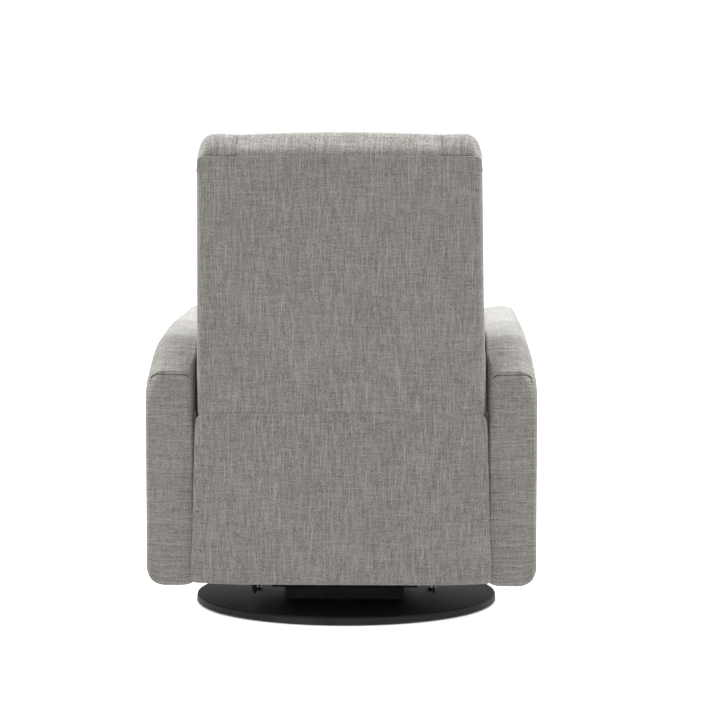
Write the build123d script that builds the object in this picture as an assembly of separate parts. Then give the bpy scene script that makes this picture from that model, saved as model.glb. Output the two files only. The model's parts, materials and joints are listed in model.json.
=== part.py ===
from build123d import *
import math
import os

# Swivel glider recliner, millimetres.
# Origin: swivel axis where it meets the floor. +Z up, the sitter faces -Y.
# "left" is the sitter's left, +X.

# ---------------- driving dimensions ----------------
# base
DISC_R = 317.5
DISC_TOP = 17.0
PAD_H = 2.5
SHEET = 4.0
# swivel
RACE_R = 82.5
BALL_R = 4.0
BALL_Z = 26.0
GROOVE_CLEAR = 0.1
KING_R = 10.0
HUB_SIDE = 250.0
HUB_LOW = 21.0
HUB_TOP = 45.0
# glider: four hanging links
LINK_Y = 110.0
LINK_TOP_Z = 146.0
LINK_LEN = 100.0
LINK_LOW_Z = LINK_TOP_Z - LINK_LEN
GL_LINK_X = (176.0, 180.0)
GL_RAIL_X = (184.0, 188.0)
GL_BRACKET_X = (170.0, 174.0)
PIN_R = 6.0
RUN = 0.05
# carriage
INNER = 291.0
OUTER = 388.0
ARM_FRONT = -405.0
ARM_REAR = 370.0
ARM_LOW = 92.0
ARM_TOP = 599.0
MECH_X = (287.5, 290.5)
CROSS = 25.0
CROSS_Z = 96.0
CROSS_FRONT_Y = -345.0
CROSS_REAR_Y = 250.0
PANEL_REAR = 378.0
PANEL_TOP = 438.0
# seat
SEAT_HALF = 283.0
SEAT_PLATE_X = (268.0, 272.0)
SEAT_TOP = 470.0
SEAT_FRONT = -425.0
SEAT_BACK = 130.0
RAIL_Z = (332.0, 370.0)
# back
TILT = 10.48
BACK_Y, BACK_Z = 372.0, 418.0
BACK_PIVOT = (240.0, 400.0)
BACK_LOW_HALF = 286.5
BACK_TOP_HALF = 277.5
BACK_U = 540.0
BACK_CROWN_U = 572.0
WING_IN = 200.0
BACK_BRACKET_X = (274.0, 278.0)
# legrest linkage (y, z)
LR_A = (-205.0, 310.0)
LR_LEN = 178.0
LR_DIR = (0.3315, -0.94346)
LR_C = (-352.0, 300.0)
LR_TAIL = 60.0
LR_CTRL = 45.0
DRIVE_X = (262.0, 266.0)
CARRIER_X = (257.0, 261.0)
LR_PIN_R = 4.0
PANEL_FRONT = -430.0
BOARD_Y = (-392.0, -378.0)
LEG_Z = (108.0, 392.0)

os.makedirs("parts", exist_ok=True)
NODES = {}


def put(name, shape):
    NODES[name] = shape
    return shape


def both(shape):
    """The shape and its mirror image across the middle plane."""
    return [shape, mirror(shape, Plane.YZ)]


def group(shapes):
    solids = []
    for s in shapes:
        solids.extend(s.solids())
    return Compound(children=solids) if len(solids) > 1 else solids[0]


def cyl_x(y, z, r, x0, x1):
    return Pos((x0 + x1) / 2, y, z) * Rot(0, 90, 0) * Cylinder(r, x1 - x0)


def box(x0, x1, y0, y1, z0, z1):
    return Pos((x0 + x1) / 2, (y0 + y1) / 2, (z0 + z1) / 2) * Box(x1 - x0, y1 - y0, z1 - z0)


def plate_x(sketch, x0, x1):
    return Pos(x0, 0, 0) * extrude(Plane.YZ * sketch, x1 - x0)


def poly(*pts):
    """Closed outline, always counter-clockwise so that it extrudes the same way."""
    area = sum(a[0] * b[1] - b[0] * a[1] for a, b in zip(pts, pts[1:] + pts[:1]))
    return Polygon(*(pts if area > 0 else pts[::-1]), align=None)


def at(p, sk):
    return Pos(p[0], p[1]) * sk


def bar(p, q, r):
    """Flat link outline: two eyes joined by a straight waist."""
    dx, dy = q[0] - p[0], q[1] - p[1]
    n = math.hypot(dx, dy)
    ux, uy = -dy / n * r * 0.92, dx / n * r * 0.92
    web = poly((p[0] + ux, p[1] + uy), (q[0] + ux, q[1] + uy), (q[0] - ux, q[1] - uy), (p[0] - ux, p[1] - uy))
    return web + at(p, Circle(r)) + at(q, Circle(r))


def pin(y, z, r, x0, x1, head_r=None, head_t=1.8, inner=True, outer=True):
    """A rivet-like pin from x0 to x1 with a head outside each end."""
    s = cyl_x(y, z, r, x0, x1)
    if head_r:
        if inner:
            s = s + cyl_x(y, z, head_r, x0 - head_t, x0)
        if outer:
            s = s + cyl_x(y, z, head_r, x1, x1 + head_t)
    return s


# ---------------- base ----------------
disc = Pos(0, 0, (PAD_H + DISC_TOP) / 2) * Cylinder(DISC_R, DISC_TOP - PAD_H)
disc = fillet(disc.edges().group_by(Axis.Z)[-1], 3.5)
disc = disc - Pos(0, 0, PAD_H + (DISC_TOP - SHEET - PAD_H) / 2) * Cylinder(DISC_R - SHEET, DISC_TOP - SHEET - PAD_H)
bolt_xy = [(55 * math.cos(math.radians(a)), 55 * math.sin(math.radians(a))) for a in range(30, 360, 60)]
for bx, by in bolt_xy:
    disc = disc - Pos(bx, by, 10) * Cylinder(4.2, 30)
disc = disc - Pos(0, 0, 10) * Cylinder(KING_R, 30)
put("base_plate", disc)

core_top = DISC_TOP - SHEET
core = Pos(0, 0, (PAD_H + core_top) / 2) * (Cylinder(DISC_R - SHEET - 1, core_top - PAD_H))
core = core - Pos(0, 0, 5) * Cylinder(KING_R, 30)
for bx, by in bolt_xy:
    core = core - Pos(bx, by, 5) * Cylinder(7.0, 30)
put("base_core", core)

pads = [Pos(0, 0, PAD_H / 2) * Cylinder(22, PAD_H)]
for k in range(8):
    a = math.radians(45 * k + 22.5)
    pads.append(Pos(290 * math.cos(a), 290 * math.sin(a), PAD_H / 2) * Cylinder(14, PAD_H))
put("floor_pads", group(pads))

groove = Pos(0, 0, BALL_Z) * Torus(RACE_R, BALL_R + GROOVE_CLEAR)
race_low = Pos(0, 0, (DISC_TOP + BALL_Z - 1.1) / 2) * (
    Cylinder(98, BALL_Z - 1.1 - DISC_TOP) - Cylinder(46, 40))
for bx, by in bolt_xy:
    race_low = race_low - Pos(bx, by, 20) * Cylinder(4.2, 30)
race_low = race_low - groove
put("lower_race", race_low)

bolts = []
for bx, by in bolt_xy:
    b = Pos(bx, by, (6.0 + BALL_Z - 1.1) / 2) * Cylinder(4.0, BALL_Z - 1.1 - 6.0)
    b = b + Pos(bx, by, BALL_Z - 1.1 + 1.0) * Cylinder(6.5, 2.0)
    b = b + Pos(bx, by, core_top - 3.0) * (extrude(RegularPolygon(6.5, 6), 3.0))
    bolts.append(b)
put("base_bolts", group(bolts))

king = Pos(0, 0, (PAD_H + 54) / 2) * Cylinder(KING_R, 54 - PAD_H)
king = king + Pos(0, 0, HUB_TOP + 1.2) * (Cylinder(19, 1.6)) + Pos(0, 0, HUB_TOP + 2.0) * extrude(RegularPolygon(15, 6), 7.0)
put("king_pin", king)

# ---------------- swivel ----------------
pan = box(-HUB_SIDE / 2, HUB_SIDE / 2, -HUB_SIDE / 2, HUB_SIDE / 2, HUB_LOW, HUB_TOP)
pan = fillet(pan.edges().filter_by(Axis.Z), 16)
inner_pan = box(-HUB_SIDE / 2 + 3, HUB_SIDE / 2 - 3, -HUB_SIDE / 2 + 3, HUB_SIDE / 2 - 3, HUB_LOW - 1, HUB_TOP - SHEET)
inner_pan = fillet(inner_pan.edges().filter_by(Axis.Z), 13)
pan = pan - inner_pan - Pos(0, 0, HUB_TOP) * Cylinder(14, 40)
put("swivel_pan", pan)

race_up = Pos(0, 0, (BALL_Z + 1.1 + HUB_TOP - SHEET) / 2) * (
    Cylinder(98, HUB_TOP - SHEET - BALL_Z - 1.1) - Cylinder(66, 40))
put("upper_race", race_up - groove)

balls = []
for k in range(24):
    a = 2 * math.pi * k / 24
    balls.append(Pos(RACE_R * math.cos(a), RACE_R * math.sin(a), BALL_Z) * Sphere(BALL_R))
put("bearing_balls", group(balls))
put("pivot_bush", Pos(0, 0, HUB_TOP - 6) * (Cylinder(14, 12) - Cylinder(KING_R + RUN, 12)) +
    Pos(0, 0, HUB_TOP - 8.5) * (Cylinder(20, 7) - Cylinder(KING_R + RUN, 7)))

channels = []
for y in (-100.0, 100.0):
    c = box(-152, 152, y - 18, y + 18, HUB_TOP, HUB_TOP + 20)
    c = c - box(-153, 153, y - 15, y + 15, HUB_TOP + 3, HUB_TOP + 17)
    channels.append(c)
put("glide_channels", group(channels))

br_low = HUB_TOP + 20
ears = poly((-140, br_low), (140, br_low), (140, br_low + 22), (126, LINK_TOP_Z - 2), (94, LINK_TOP_Z - 2),
            (80, LINK_TOP_Z - 12), (-80, LINK_TOP_Z - 12), (-94, LINK_TOP_Z - 2), (-126, LINK_TOP_Z - 2), (-140, br_low + 22))
for s in (-1, 1):
    ears = ears + at((s * LINK_Y, LINK_TOP_Z), Circle(16))
for s in (-1, 1):
    ears = ears - at((s * LINK_Y, LINK_TOP_Z), Circle(PIN_R))
for y in (-52, 0, 52):
    ears = ears - at((y, br_low + 36), Circle(17))
bracket = plate_x(ears, *GL_BRACKET_X) + box(128, GL_BRACKET_X[0], -140, 140, br_low, br_low + SHEET)
b_l, b_r = both(bracket)
put("glide_bracket_left", b_l)
put("glide_bracket_right", b_r)

up_pins = []
for s in (-1, 1):
    p = cyl_x(s * LINK_Y, LINK_TOP_Z, PIN_R, GL_BRACKET_X[0], GL_LINK_X[1])
    p = p + cyl_x(s * LINK_Y, LINK_TOP_Z, 10, GL_BRACKET_X[0] - 4, GL_BRACKET_X[0])
    p = p + cyl_x(s * LINK_Y, LINK_TOP_Z, 9, GL_BRACKET_X[1], GL_LINK_X[0] - 0.1)
    p = p + cyl_x(s * LINK_Y, LINK_TOP_Z, 10, GL_LINK_X[1] + 0.1, GL_LINK_X[1] + 3.4)
    p = p + cyl_x(s * LINK_Y, LINK_TOP_Z, PIN_R, GL_LINK_X[1], GL_LINK_X[1] + 2)
    up_pins += both(p)
put("glide_upper_pins", group(up_pins))

# ---------------- glide links ----------------
for name, y, low_clear in (("front_glide_links", -LINK_Y, RUN), ("rear_glide_links", LINK_Y, 0.3)):
    lk = bar((y, LINK_TOP_Z), (y, LINK_LOW_Z), 11)
    lk = lk - at((y, LINK_TOP_Z), Circle(PIN_R + RUN)) - at((y, LINK_LOW_Z), Circle(PIN_R + low_clear))
    put(name, group(both(plate_x(lk, *GL_LINK_X))))

# ---------------- carriage: rails ----------------
rail = poly((-345, CROSS_Z), (-345, 80), (-150, 37), (150, 37), (275, 80), (275, CROSS_Z))
rail = rail - poly((-222, 84), (-222, 70), (-145, 53), (-138, 60), (-138, 84)) - poly((-300, 86), (-236, 72), (-236, 86))
rail = rail - poly((138, 84), (138, 60), (145, 55), (214, 77), (214, 84))
for s in (-1, 1):
    rail = rail - poly((s * 8, 52), (s * 90, 52), (s * 84, 82), (s * 8, 82))
for s in (-1, 1):
    rail = rail - at((s * LINK_Y, LINK_LOW_Z), Circle(PIN_R))
g_l, g_r = both(plate_x(rail, *GL_RAIL_X))
put("glide_rail_left", g_l)
put("glide_rail_right", g_r)

low_pins = []
for s in (-1, 1):
    p = cyl_x(s * LINK_Y, LINK_LOW_Z, PIN_R, GL_LINK_X[0], GL_RAIL_X[1])
    p = p + cyl_x(s * LINK_Y, LINK_LOW_Z, 9, GL_LINK_X[1] + 0.1, GL_RAIL_X[0])
    p = p + cyl_x(s * LINK_Y, LINK_LOW_Z, 9, GL_LINK_X[0] - 1.8, GL_LINK_X[0] - 0.1) + cyl_x(s * LINK_Y, LINK_LOW_Z, PIN_R, GL_LINK_X[0] - 1.0, GL_LINK_X[0])
    p = p + cyl_x(s * LINK_Y, LINK_LOW_Z, 9, GL_RAIL_X[1], GL_RAIL_X[1] + 3)
    low_pins += both(p)
put("glide_lower_pins", group(low_pins))

crosses = []
for y0 in (CROSS_FRONT_Y, CROSS_REAR_Y):
    t = box(-MECH_X[0], MECH_X[0], y0, y0 + CROSS, CROSS_Z, CROSS_Z + CROSS)
    t = t - box(-MECH_X[0] - 1, MECH_X[0] + 1, y0 + 2, y0 + CROSS - 2, CROSS_Z + 2, CROSS_Z + CROSS - 2)
    crosses.append(t)
put("cross_rails", group(crosses))

mech = poly((-350, CROSS_Z), (280, CROSS_Z), (280, 150), (215, 170), (205, 322), (205, 330), (-335, 330), (-335, 200), (-350, 150))
for y in (-260, -166, -72, 22, 116):
    mech = mech - poly((y - 38, 160), (y + 38, 160), (y + 38, 296), (y - 38, 296))
mech = plate_x(mech, *MECH_X) + box(276, MECH_X[0], -330, 200, 322, 325.9)
arm_bolt_yz = [(-318.0, 135.0), (-318.0, 308.0), (69.0, 135.0), (180.0, 308.0)]
for y, z in arm_bolt_yz:
    mech = mech - cyl_x(y, z, 4.0, 280, 300)
m_l, m_r = both(mech)
put("mechanism_rail_left", m_l)
put("mechanism_rail_right", m_r)

# ---------------- arms ----------------
def arm_outline():
    sk = poly((ARM_FRONT, ARM_LOW), (ARM_FRONT, ARM_TOP), (100, ARM_TOP), (ARM_REAR, 577), (ARM_REAR, ARM_LOW))
    vs = sk.vertices()
    pick = lambda y, z: min(vs, key=lambda v: (v.X - y) ** 2 + (v.Y - z) ** 2)
    sk = fillet([pick(ARM_FRONT, ARM_TOP)], 42)
    vs = sk.vertices()
    sk = fillet([min(vs, key=lambda v: (v.X - ARM_REAR) ** 2 + (v.Y - 577) ** 2)], 76)
    vs = sk.vertices()
    sk = fillet([min(vs, key=lambda v: (v.X - 100) ** 2 + (v.Y - ARM_TOP) ** 2)], 900)
    vs = sk.vertices()
    sk = fillet([v for v in vs if abs(v.Y - ARM_LOW) < 0.1], 12)
    return sk


arm = Pos(INNER, 0, 0) * extrude(Plane.YZ * arm_outline(), OUTER - INNER)
side_edges = [e for e in arm.edges() if abs(e.bounding_box().size.X) < 0.01]
arm = fillet(side_edges, 11)
FRAME_X = (302.0, 320.0)
board_low, board_top = 97.0, 560.0
arm = arm - box(FRAME_X[0], FRAME_X[1], -380, 345, ARM_LOW - 5, board_top)
for y, z in arm_bolt_yz:
    arm = arm - cyl_x(y, z, 4.5, INNER - 5, FRAME_X[0] + 1)
    arm = arm - cyl_x(y, z, 9.0, FRAME_X[1] - 1, FRAME_X[1] + 8)
a_l, a_r = both(arm)
put("arm_cover_left", a_l)
put("arm_cover_right", a_r)

board = box(FRAME_X[0], FRAME_X[1], -380, 345, board_low, board_top)
board = fillet(board.edges().filter_by(Axis.X), 30)
for y, z in arm_bolt_yz:
    board = board - cyl_x(y, z, 4.0, 290, 330)
f_l, f_r = both(board)
put("arm_frame_left", f_l)
put("arm_frame_right", f_r)

ab = []
for y, z in arm_bolt_yz:
    p = cyl_x(y, z, 4.0, MECH_X[0], FRAME_X[1] + 5) + cyl_x(y, z, 7.5, MECH_X[0] - 3, MECH_X[0])
    p = p + cyl_x(y, z, 8.0, FRAME_X[1], FRAME_X[1] + 5)
    ab += both(p)
put("arm_bolts", group(ab))

# ---------------- lower rear panel ----------------
put("rear_panel_board", box(-290, 290, 352, 366, 97, 385))
# its thin upper lip leans back with the backrest and covers the gap under it
skin = poly((366, ARM_LOW + 3), (376, ARM_LOW + 3), (PANEL_REAR, ARM_LOW + 9), (PANEL_REAR + 0.5, 400), (PANEL_REAR + 2, PANEL_TOP),
            (PANEL_REAR - 0.5, PANEL_TOP), (366, 386))
skin = Pos(-290.5, 0, 0) * extrude(Plane.YZ * skin, 581)
put("rear_panel_cover", skin)

# ---------------- seat ----------------
side = box(240, SEAT_PLATE_X[0], -325, 140, *RAIL_Z) + box(240, 252, -350, -325, *RAIL_Z)
put("seat_side_rails", group(both(side)))
front_rail = box(-252, 252, -372, -350, *RAIL_Z)
rear_rail = box(-240, 240, 118, 140, *RAIL_Z)
put("seat_cross_rails", group([front_rail, rear_rail]))


def sinuous(length, amp, n, r):
    """A zigzag spring wire along +Y from the origin, in the XY plane."""
    pts = [(0, 0), (0, 10)]
    pitch = (length - 20) / n
    for k in range(n):
        x = amp if k % 2 == 0 else -amp
        pts += [(x * 0.72, 10 + pitch * (k + 0.10)), (x, 10 + pitch * (k + 0.32)),
                (x, 10 + pitch * (k + 0.68)), (x * 0.72, 10 + pitch * (k + 0.90))]
    pts += [(0, length - 10), (0, length)]
    path = Polyline(*[(x, y, 0) for x, y in pts])
    return sweep(Plane(origin=(0, 0, 0), z_dir=(0, 1, 0)) * RegularPolygon(r, 6), path, transition=Transition.RIGHT)


seat_spring = sinuous(118 + 350, 20, 13, 2.0)
seat_springs = []
for x in (-180, -90, 0, 90, 180):
    seat_springs.append(Pos(x, -350, 364) * seat_spring)
put("seat_springs", group(seat_springs))

cushion = poly((-371, 373), (SEAT_BACK, 373), (SEAT_BACK, 458), (SEAT_BACK - 30, 463), (-120, SEAT_TOP), (-395, SEAT_TOP - 4),
               (-418, 452), (SEAT_FRONT, 430), (-418, 408), (-400, 399), (-374, 399), (-374, 380))
cushion = Pos(-SEAT_HALF, 0, 0) * extrude(Plane.YZ * cushion, 2 * SEAT_HALF)
put("seat_cushion", cushion)

# seat side plate: carries the back pivot and the legrest pivots
B0 = (LR_A[0] + LR_LEN * LR_DIR[0], LR_A[1] + LR_LEN * LR_DIR[1])
cn = math.hypot(LR_C[0] - B0[0], LR_C[1] - B0[1])
CU = ((LR_C[0] - B0[0]) / cn, (LR_C[1] - B0[1]) / cn)
A2 = (LR_A[0] - CU[0] * LR_TAIL, LR_A[1] - CU[1] * LR_TAIL)
E0 = (B0[0] - CU[0] * LR_TAIL, B0[1] - CU[1] * LR_TAIL)
F0 = (B0[0] - LR_DIR[0] * LR_CTRL, B0[1] - LR_DIR[1] * LR_CTRL)
G0 = (LR_C[0] - LR_DIR[0] * LR_CTRL, LR_C[1] - LR_DIR[1] * LR_CTRL)
print("legrest pivots", A2, B0, E0, F0, G0, cn)

sp = poly((-335, 326), (150, 326), (244, 384.6), (236, 415.4), (150, 370), (-335, 370))
sp = sp + at(BACK_PIVOT, Circle(16))
sp = sp + poly((-240, 330), (LR_A[0] - 13, LR_A[1] - 6), (A2[0] - 14, A2[1] - 10), (A2[0] + 13, A2[1] - 4), (-110, 330))
sp = sp + at(LR_A, Circle(15)) + at(A2, Circle(15))
sp = sp - at(BACK_PIVOT, Circle(PIN_R)) - at(LR_A, Circle(LR_PIN_R)) - at(A2, Circle(LR_PIN_R))
p_l, p_r = both(plate_x(sp, *SEAT_PLATE_X))
put("seat_side_plate_left", p_l)
put("seat_side_plate_right", p_r)

put("seat_runners", group(both(box(SEAT_PLATE_X[1], 285.5, -240, 110, 326.0, 335.0))))

bp = cyl_x(*BACK_PIVOT, PIN_R, SEAT_PLATE_X[0], BACK_BRACKET_X[1]) + cyl_x(*BACK_PIVOT, 10, SEAT_PLATE_X[0] - 3, SEAT_PLATE_X[0])
bp = bp + cyl_x(*BACK_PIVOT, 9, SEAT_PLATE_X[1], BACK_BRACKET_X[0] - 0.1) + cyl_x(*BACK_PIVOT, PIN_R, BACK_BRACKET_X[1], BACK_BRACKET_X[1] + 1)
bp = bp + cyl_x(*BACK_PIVOT, 10, BACK_BRACKET_X[1] + 0.1, BACK_BRACKET_X[1] + 3)
put("back_pivot_pins", group(both(bp)))

hp = []
for p in (LR_A, A2):
    s = cyl_x(*p, LR_PIN_R, DRIVE_X[0], SEAT_PLATE_X[1]) + cyl_x(*p, 7, DRIVE_X[1] + 0.1, SEAT_PLATE_X[0])
    s = s + cyl_x(*p, LR_PIN_R, DRIVE_X[0] - 1, DRIVE_X[0]) + cyl_x(*p, 7, DRIVE_X[0] - 1.0, DRIVE_X[0] - 0.1)
    s = s + cyl_x(*p, 7, SEAT_PLATE_X[1], SEAT_PLATE_X[1] + 2)
    hp += both(s)
put("legrest_hinge_pins", group(hp))

# ---------------- backrest, built upright and then tilted ----------------
# local frame: rear surface at y = 0, front towards -y, z along the back
BACK_AT = Pos(0, BACK_Y, BACK_Z) * Rot(-TILT, 0, 0)


def place_back(s):
    return BACK_AT * s


def side_x(z):
    """Half width of the back at height z along it."""
    t = max(0.0, min(1.0, (z - 45) / (BACK_U - 45)))
    return BACK_LOW_HALF + (BACK_TOP_HALF - BACK_LOW_HALF) * t


def mirror_pts(right):
    return right + [(-x, z) for x, z in reversed(right)]


cov = mirror_pts([(BACK_LOW_HALF - 6, 0), (BACK_LOW_HALF, 12), (BACK_LOW_HALF, 45), (BACK_TOP_HALF, 505), (BACK_TOP_HALF - 5, 522),
                  (BACK_TOP_HALF - 16, 534), (BACK_TOP_HALF - 30, BACK_U)])
cover = extrude(Plane.XZ * poly(*cov), 10)
low_edge = [e for e in cover.edges() if abs(e.center().Z) < 0.01 and abs(e.center().Y) < 0.01]
cover = fillet(low_edge, 7)
put("back_outer_cover", place_back(cover))

stile = box(246, 274, -36, -12, 5, 533)
put("back_stiles", group([place_back(s) for s in both(stile)]))
rails = [box(-246, 246, -36, -12, z0, z1) for z0, z1 in ((5, 65), (235, 275), (488, 533))]
put("back_rails", group([place_back(s) for s in rails]))

wire = sinuous(492, 18, 14, 1.8)
wire = Pos(246, 0, 0) * Rot(0, 0, 90) * wire
wire = Rot(90, 0, 0) * wire
back_springs = []
for z in (105, 150, 195, 320, 370, 420):
    back_springs.append(place_back(Pos(0, -30, z) * wire))
put("back_springs", group(back_springs))

prof = poly((-38, -42), (-150, -50), (-205, -50), (-226, -20), (-234, 60), (-228, 150), (-208, 260), (-196, 360), (-200, 450),
            (-192, 515), (-165, 546), (-120, 563), (-75, BACK_CROWN_U - 1), (-38, 562))
bc = Pos(-WING_IN + 2, 0, 0) * extrude(Plane.YZ * prof, 2 * WING_IN - 4)
put("back_cushion", place_back(bc))

wprof = poly((-38, 10), (-200, 10), (-222, 60), (-230, 150), (-222, 300), (-214, 430), (-200, 510), (-168, 548), (-110, 562), (-38, 556))
wing = Pos(WING_IN, 0, 0) * extrude(Plane.YZ * wprof, 90)
taper = extrude(Plane.XZ * poly((WING_IN, -20), (BACK_LOW_HALF - 2.5, -20), (BACK_LOW_HALF - 2.5, 45), (BACK_TOP_HALF - 1, 505),
                                (BACK_TOP_HALF - 8, 535), (BACK_TOP_HALF - 26, 560), (WING_IN, 566)), 400)
wing = wing & taper
put("back_wing_left", place_back(wing))
put("back_wing_right", place_back(mirror(wing, Plane.YZ)))

# pivot in the back's own frame
c10, s10 = math.cos(math.radians(TILT)), math.sin(math.radians(TILT))
dy, dz = BACK_PIVOT[0] - BACK_Y, BACK_PIVOT[1] - BACK_Z
PV = (dy * c10 - dz * s10, dy * s10 + dz * c10)
print("back pivot in the back frame", PV)
bb = poly((-12, 4), (-12, 210), (-36, 210), (-36, 7.5), (PV[0] - 4, PV[1] + 15), (PV[0] + 3, PV[1] - 15))
bb = bb + at(PV, Circle(16))
bb = bb - at(PV, Circle(PIN_R + RUN))
bb = plate_x(bb, *BACK_BRACKET_X)
k_l, k_r = both(bb)
put("back_bracket_left", place_back(k_l))
put("back_bracket_right", place_back(k_r))

# ---------------- legrest linkage ----------------
dl = bar(LR_A, B0, 12)
dl = dl - at(LR_A, Circle(LR_PIN_R + RUN)) - at(B0, Circle(LR_PIN_R)) - at(F0, Circle(LR_PIN_R))
put("legrest_drive_links", group(both(plate_x(dl, *DRIVE_X))))
D0 = (LR_A[0] + 60 * LR_DIR[0], LR_A[1] + 60 * LR_DIR[1])
tube = cyl_x(*D0, 11, -DRIVE_X[0], DRIVE_X[0]) - cyl_x(*D0, 9, -DRIVE_X[0] - 1, DRIVE_X[0] + 1)
put("legrest_torque_tube", tube)

il = bar(A2, E0, 11)
il = il - at(A2, Circle(LR_PIN_R + RUN)) - at(E0, Circle(LR_PIN_R + 0.3))
put("legrest_idler_links", group(both(plate_x(il, *DRIVE_X))))

cl = bar(E0, LR_C, 11)
cl = cl - at(E0, Circle(LR_PIN_R)) - at(B0, Circle(LR_PIN_R + RUN)) - at(LR_C, Circle(LR_PIN_R + RUN))
put("legrest_carrier_links", group(both(plate_x(cl, *CARRIER_X))))

kl = bar(F0, G0, 8)
kl = kl - at(F0, Circle(LR_PIN_R + RUN)) - at(G0, Circle(LR_PIN_R + 0.3))
put("legrest_control_links", group(both(plate_x(kl, *CARRIER_X))))


def link_pin(p, head, fixed_outer):
    """A pin across the two link lanes; the washer gap between the lanes stays free."""
    s = cyl_x(*p, LR_PIN_R, CARRIER_X[0] - 0.6, DRIVE_X[1] + 0.6)
    inner_gap = 0.1 if fixed_outer else 0.0
    outer_gap = 0.0 if fixed_outer else 0.1
    s = s + cyl_x(*p, head, CARRIER_X[0] - 1.8, CARRIER_X[0] - inner_gap)
    s = s + cyl_x(*p, head, DRIVE_X[1] + outer_gap, DRIVE_X[1] + 1.6)
    return s


put("drive_link_pins", group(sum([both(link_pin(p, 7, True)) for p in (B0, F0)], [])))
put("idler_link_pins", group(both(link_pin(E0, 7, False))))
put("panel_link_pins", group(sum([both(link_pin(p, 7, True)) for p in (LR_C, G0)], [])))

# ---------------- legrest panel ----------------
lb = poly((BOARD_Y[1], 240), (BOARD_Y[1], 372), (G0[0] + 4, G0[1] + 11), (G0[0] + 10, G0[1] - 2), (LR_C[0] + 12, LR_C[1]), (LR_C[0] + 4, LR_C[1] - 14))
lb = lb + at(LR_C, Circle(12)) - at(LR_C, Circle(LR_PIN_R)) - at(G0, Circle(LR_PIN_R))
lb = lb - poly((BOARD_Y[1] - 40, 200), (BOARD_Y[1], 200), (BOARD_Y[1], 400), (BOARD_Y[1] - 40, 400))
lbx = plate_x(lb, *DRIVE_X) + box(DRIVE_X[0] - 22, DRIVE_X[0], BOARD_Y[1], BOARD_Y[1] + 3, 240, 285)
put("legrest_brackets", group(both(lbx)))
put("legrest_board", box(-270, 270, BOARD_Y[0], BOARD_Y[1], 116, 386))
lc = box(-SEAT_HALF, SEAT_HALF, PANEL_FRONT, BOARD_Y[0], *LEG_Z)
front_edges = lc.edges().group_by(Axis.Y)[0]
lc = fillet(front_edges, 16)
put("legrest_cushion", lc)

# ---------------- release tab ----------------
tab = poly((-165, 385), (-135, 385), (-135, 520), (-165, 520))
tab = fillet(tab.vertices().group_by(Axis.Y)[-1], 12)
tab = tab - at((-150, 505), Circle(7))
put("release_tab", mirror(plate_x(tab, 285.0, 289.0), Plane.YZ))

for name, shape in NODES.items():
    export_step(shape, "parts/%s.step" % name)
print(len(NODES), "nodes")
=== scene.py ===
import json
import math

import bmesh
import bpy
import numpy as np
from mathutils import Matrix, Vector
from mathutils.geometry import delaunay_2d_cdt


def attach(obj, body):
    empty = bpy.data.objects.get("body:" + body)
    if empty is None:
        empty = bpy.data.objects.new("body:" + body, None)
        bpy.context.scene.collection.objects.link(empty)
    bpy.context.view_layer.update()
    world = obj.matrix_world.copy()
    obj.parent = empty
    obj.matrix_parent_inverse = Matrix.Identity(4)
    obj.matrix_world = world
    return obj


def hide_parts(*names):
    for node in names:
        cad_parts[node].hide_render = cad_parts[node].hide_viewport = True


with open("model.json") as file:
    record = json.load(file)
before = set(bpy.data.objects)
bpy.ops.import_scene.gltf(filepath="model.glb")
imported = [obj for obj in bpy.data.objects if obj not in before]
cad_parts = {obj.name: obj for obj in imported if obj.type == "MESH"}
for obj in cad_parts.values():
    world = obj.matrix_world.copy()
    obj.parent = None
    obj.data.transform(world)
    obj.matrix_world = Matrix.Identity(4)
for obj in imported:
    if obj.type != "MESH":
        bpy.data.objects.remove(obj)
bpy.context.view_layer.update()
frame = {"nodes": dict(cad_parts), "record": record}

NODES = frame["nodes"]

# ------------------------------------------------------------------ geometry shared with the CAD
TILT = math.radians(10.48)
BACK_Y, BACK_Z = 0.372, 0.418
ST, CT = math.sin(TILT), math.cos(TILT)


def back_world(x, v, u):
    """Backrest coordinates (across, forward of the rear surface, up along the back) to the row frame."""
    return np.stack([x, BACK_Y + u * ST - v * CT, BACK_Z + u * CT + v * ST], -1)


def back_local(co):
    y, z = co[:, 1] - BACK_Y, co[:, 2] - BACK_Z
    return co[:, 0], -(y * CT - z * ST), y * ST + z * CT


# ------------------------------------------------------------------ camera
cam_data = bpy.data.cameras.new("camera")
cam_data.lens = 137.9
cam_data.sensor_width = 36.0
cam_data.clip_end = 100.0
cam = bpy.data.objects.new("camera", cam_data)
bpy.context.scene.collection.objects.link(cam)
cam.location = (-0.165, 5.82, 1.026)
pitch, yaw = math.radians(5.05), math.radians(1.336)
forward = Vector((math.sin(yaw) * math.cos(pitch), -math.cos(yaw) * math.cos(pitch), -math.sin(pitch)))
cam.rotation_mode = "QUATERNION"
cam.rotation_quaternion = forward.to_track_quat("-Z", "Y")
bpy.context.scene.camera = cam

# ------------------------------------------------------------------ numbers


def hash01(i, j, k, seed):
    h = (i * 374761393 + j * 668265263 + k * 2147483647 + seed * 144665) & 0xFFFFFFFF
    h = ((h ^ (h >> 13)) * 1274126177) & 0xFFFFFFFF
    return ((h ^ (h >> 16)) & 0xFFFFFF) / float(0xFFFFFF)


def noise3(p, seed=0):
    """Value noise in -1..1 at the points p, cell size 1."""
    p = np.asarray(p, float)
    c = np.floor(p).astype(np.int64)
    f = p - c
    f = f * f * f * (f * (f * 6 - 15) + 10)
    out = 0
    for di in (0, 1):
        for dj in (0, 1):
            for dk in (0, 1):
                w = ((f[:, 0] if di else 1 - f[:, 0]) * (f[:, 1] if dj else 1 - f[:, 1]) * (f[:, 2] if dk else 1 - f[:, 2]))
                out = out + w * hash01(c[:, 0] + di, c[:, 1] + dj, c[:, 2] + dk, seed)
    return out * 2 - 1


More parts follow.
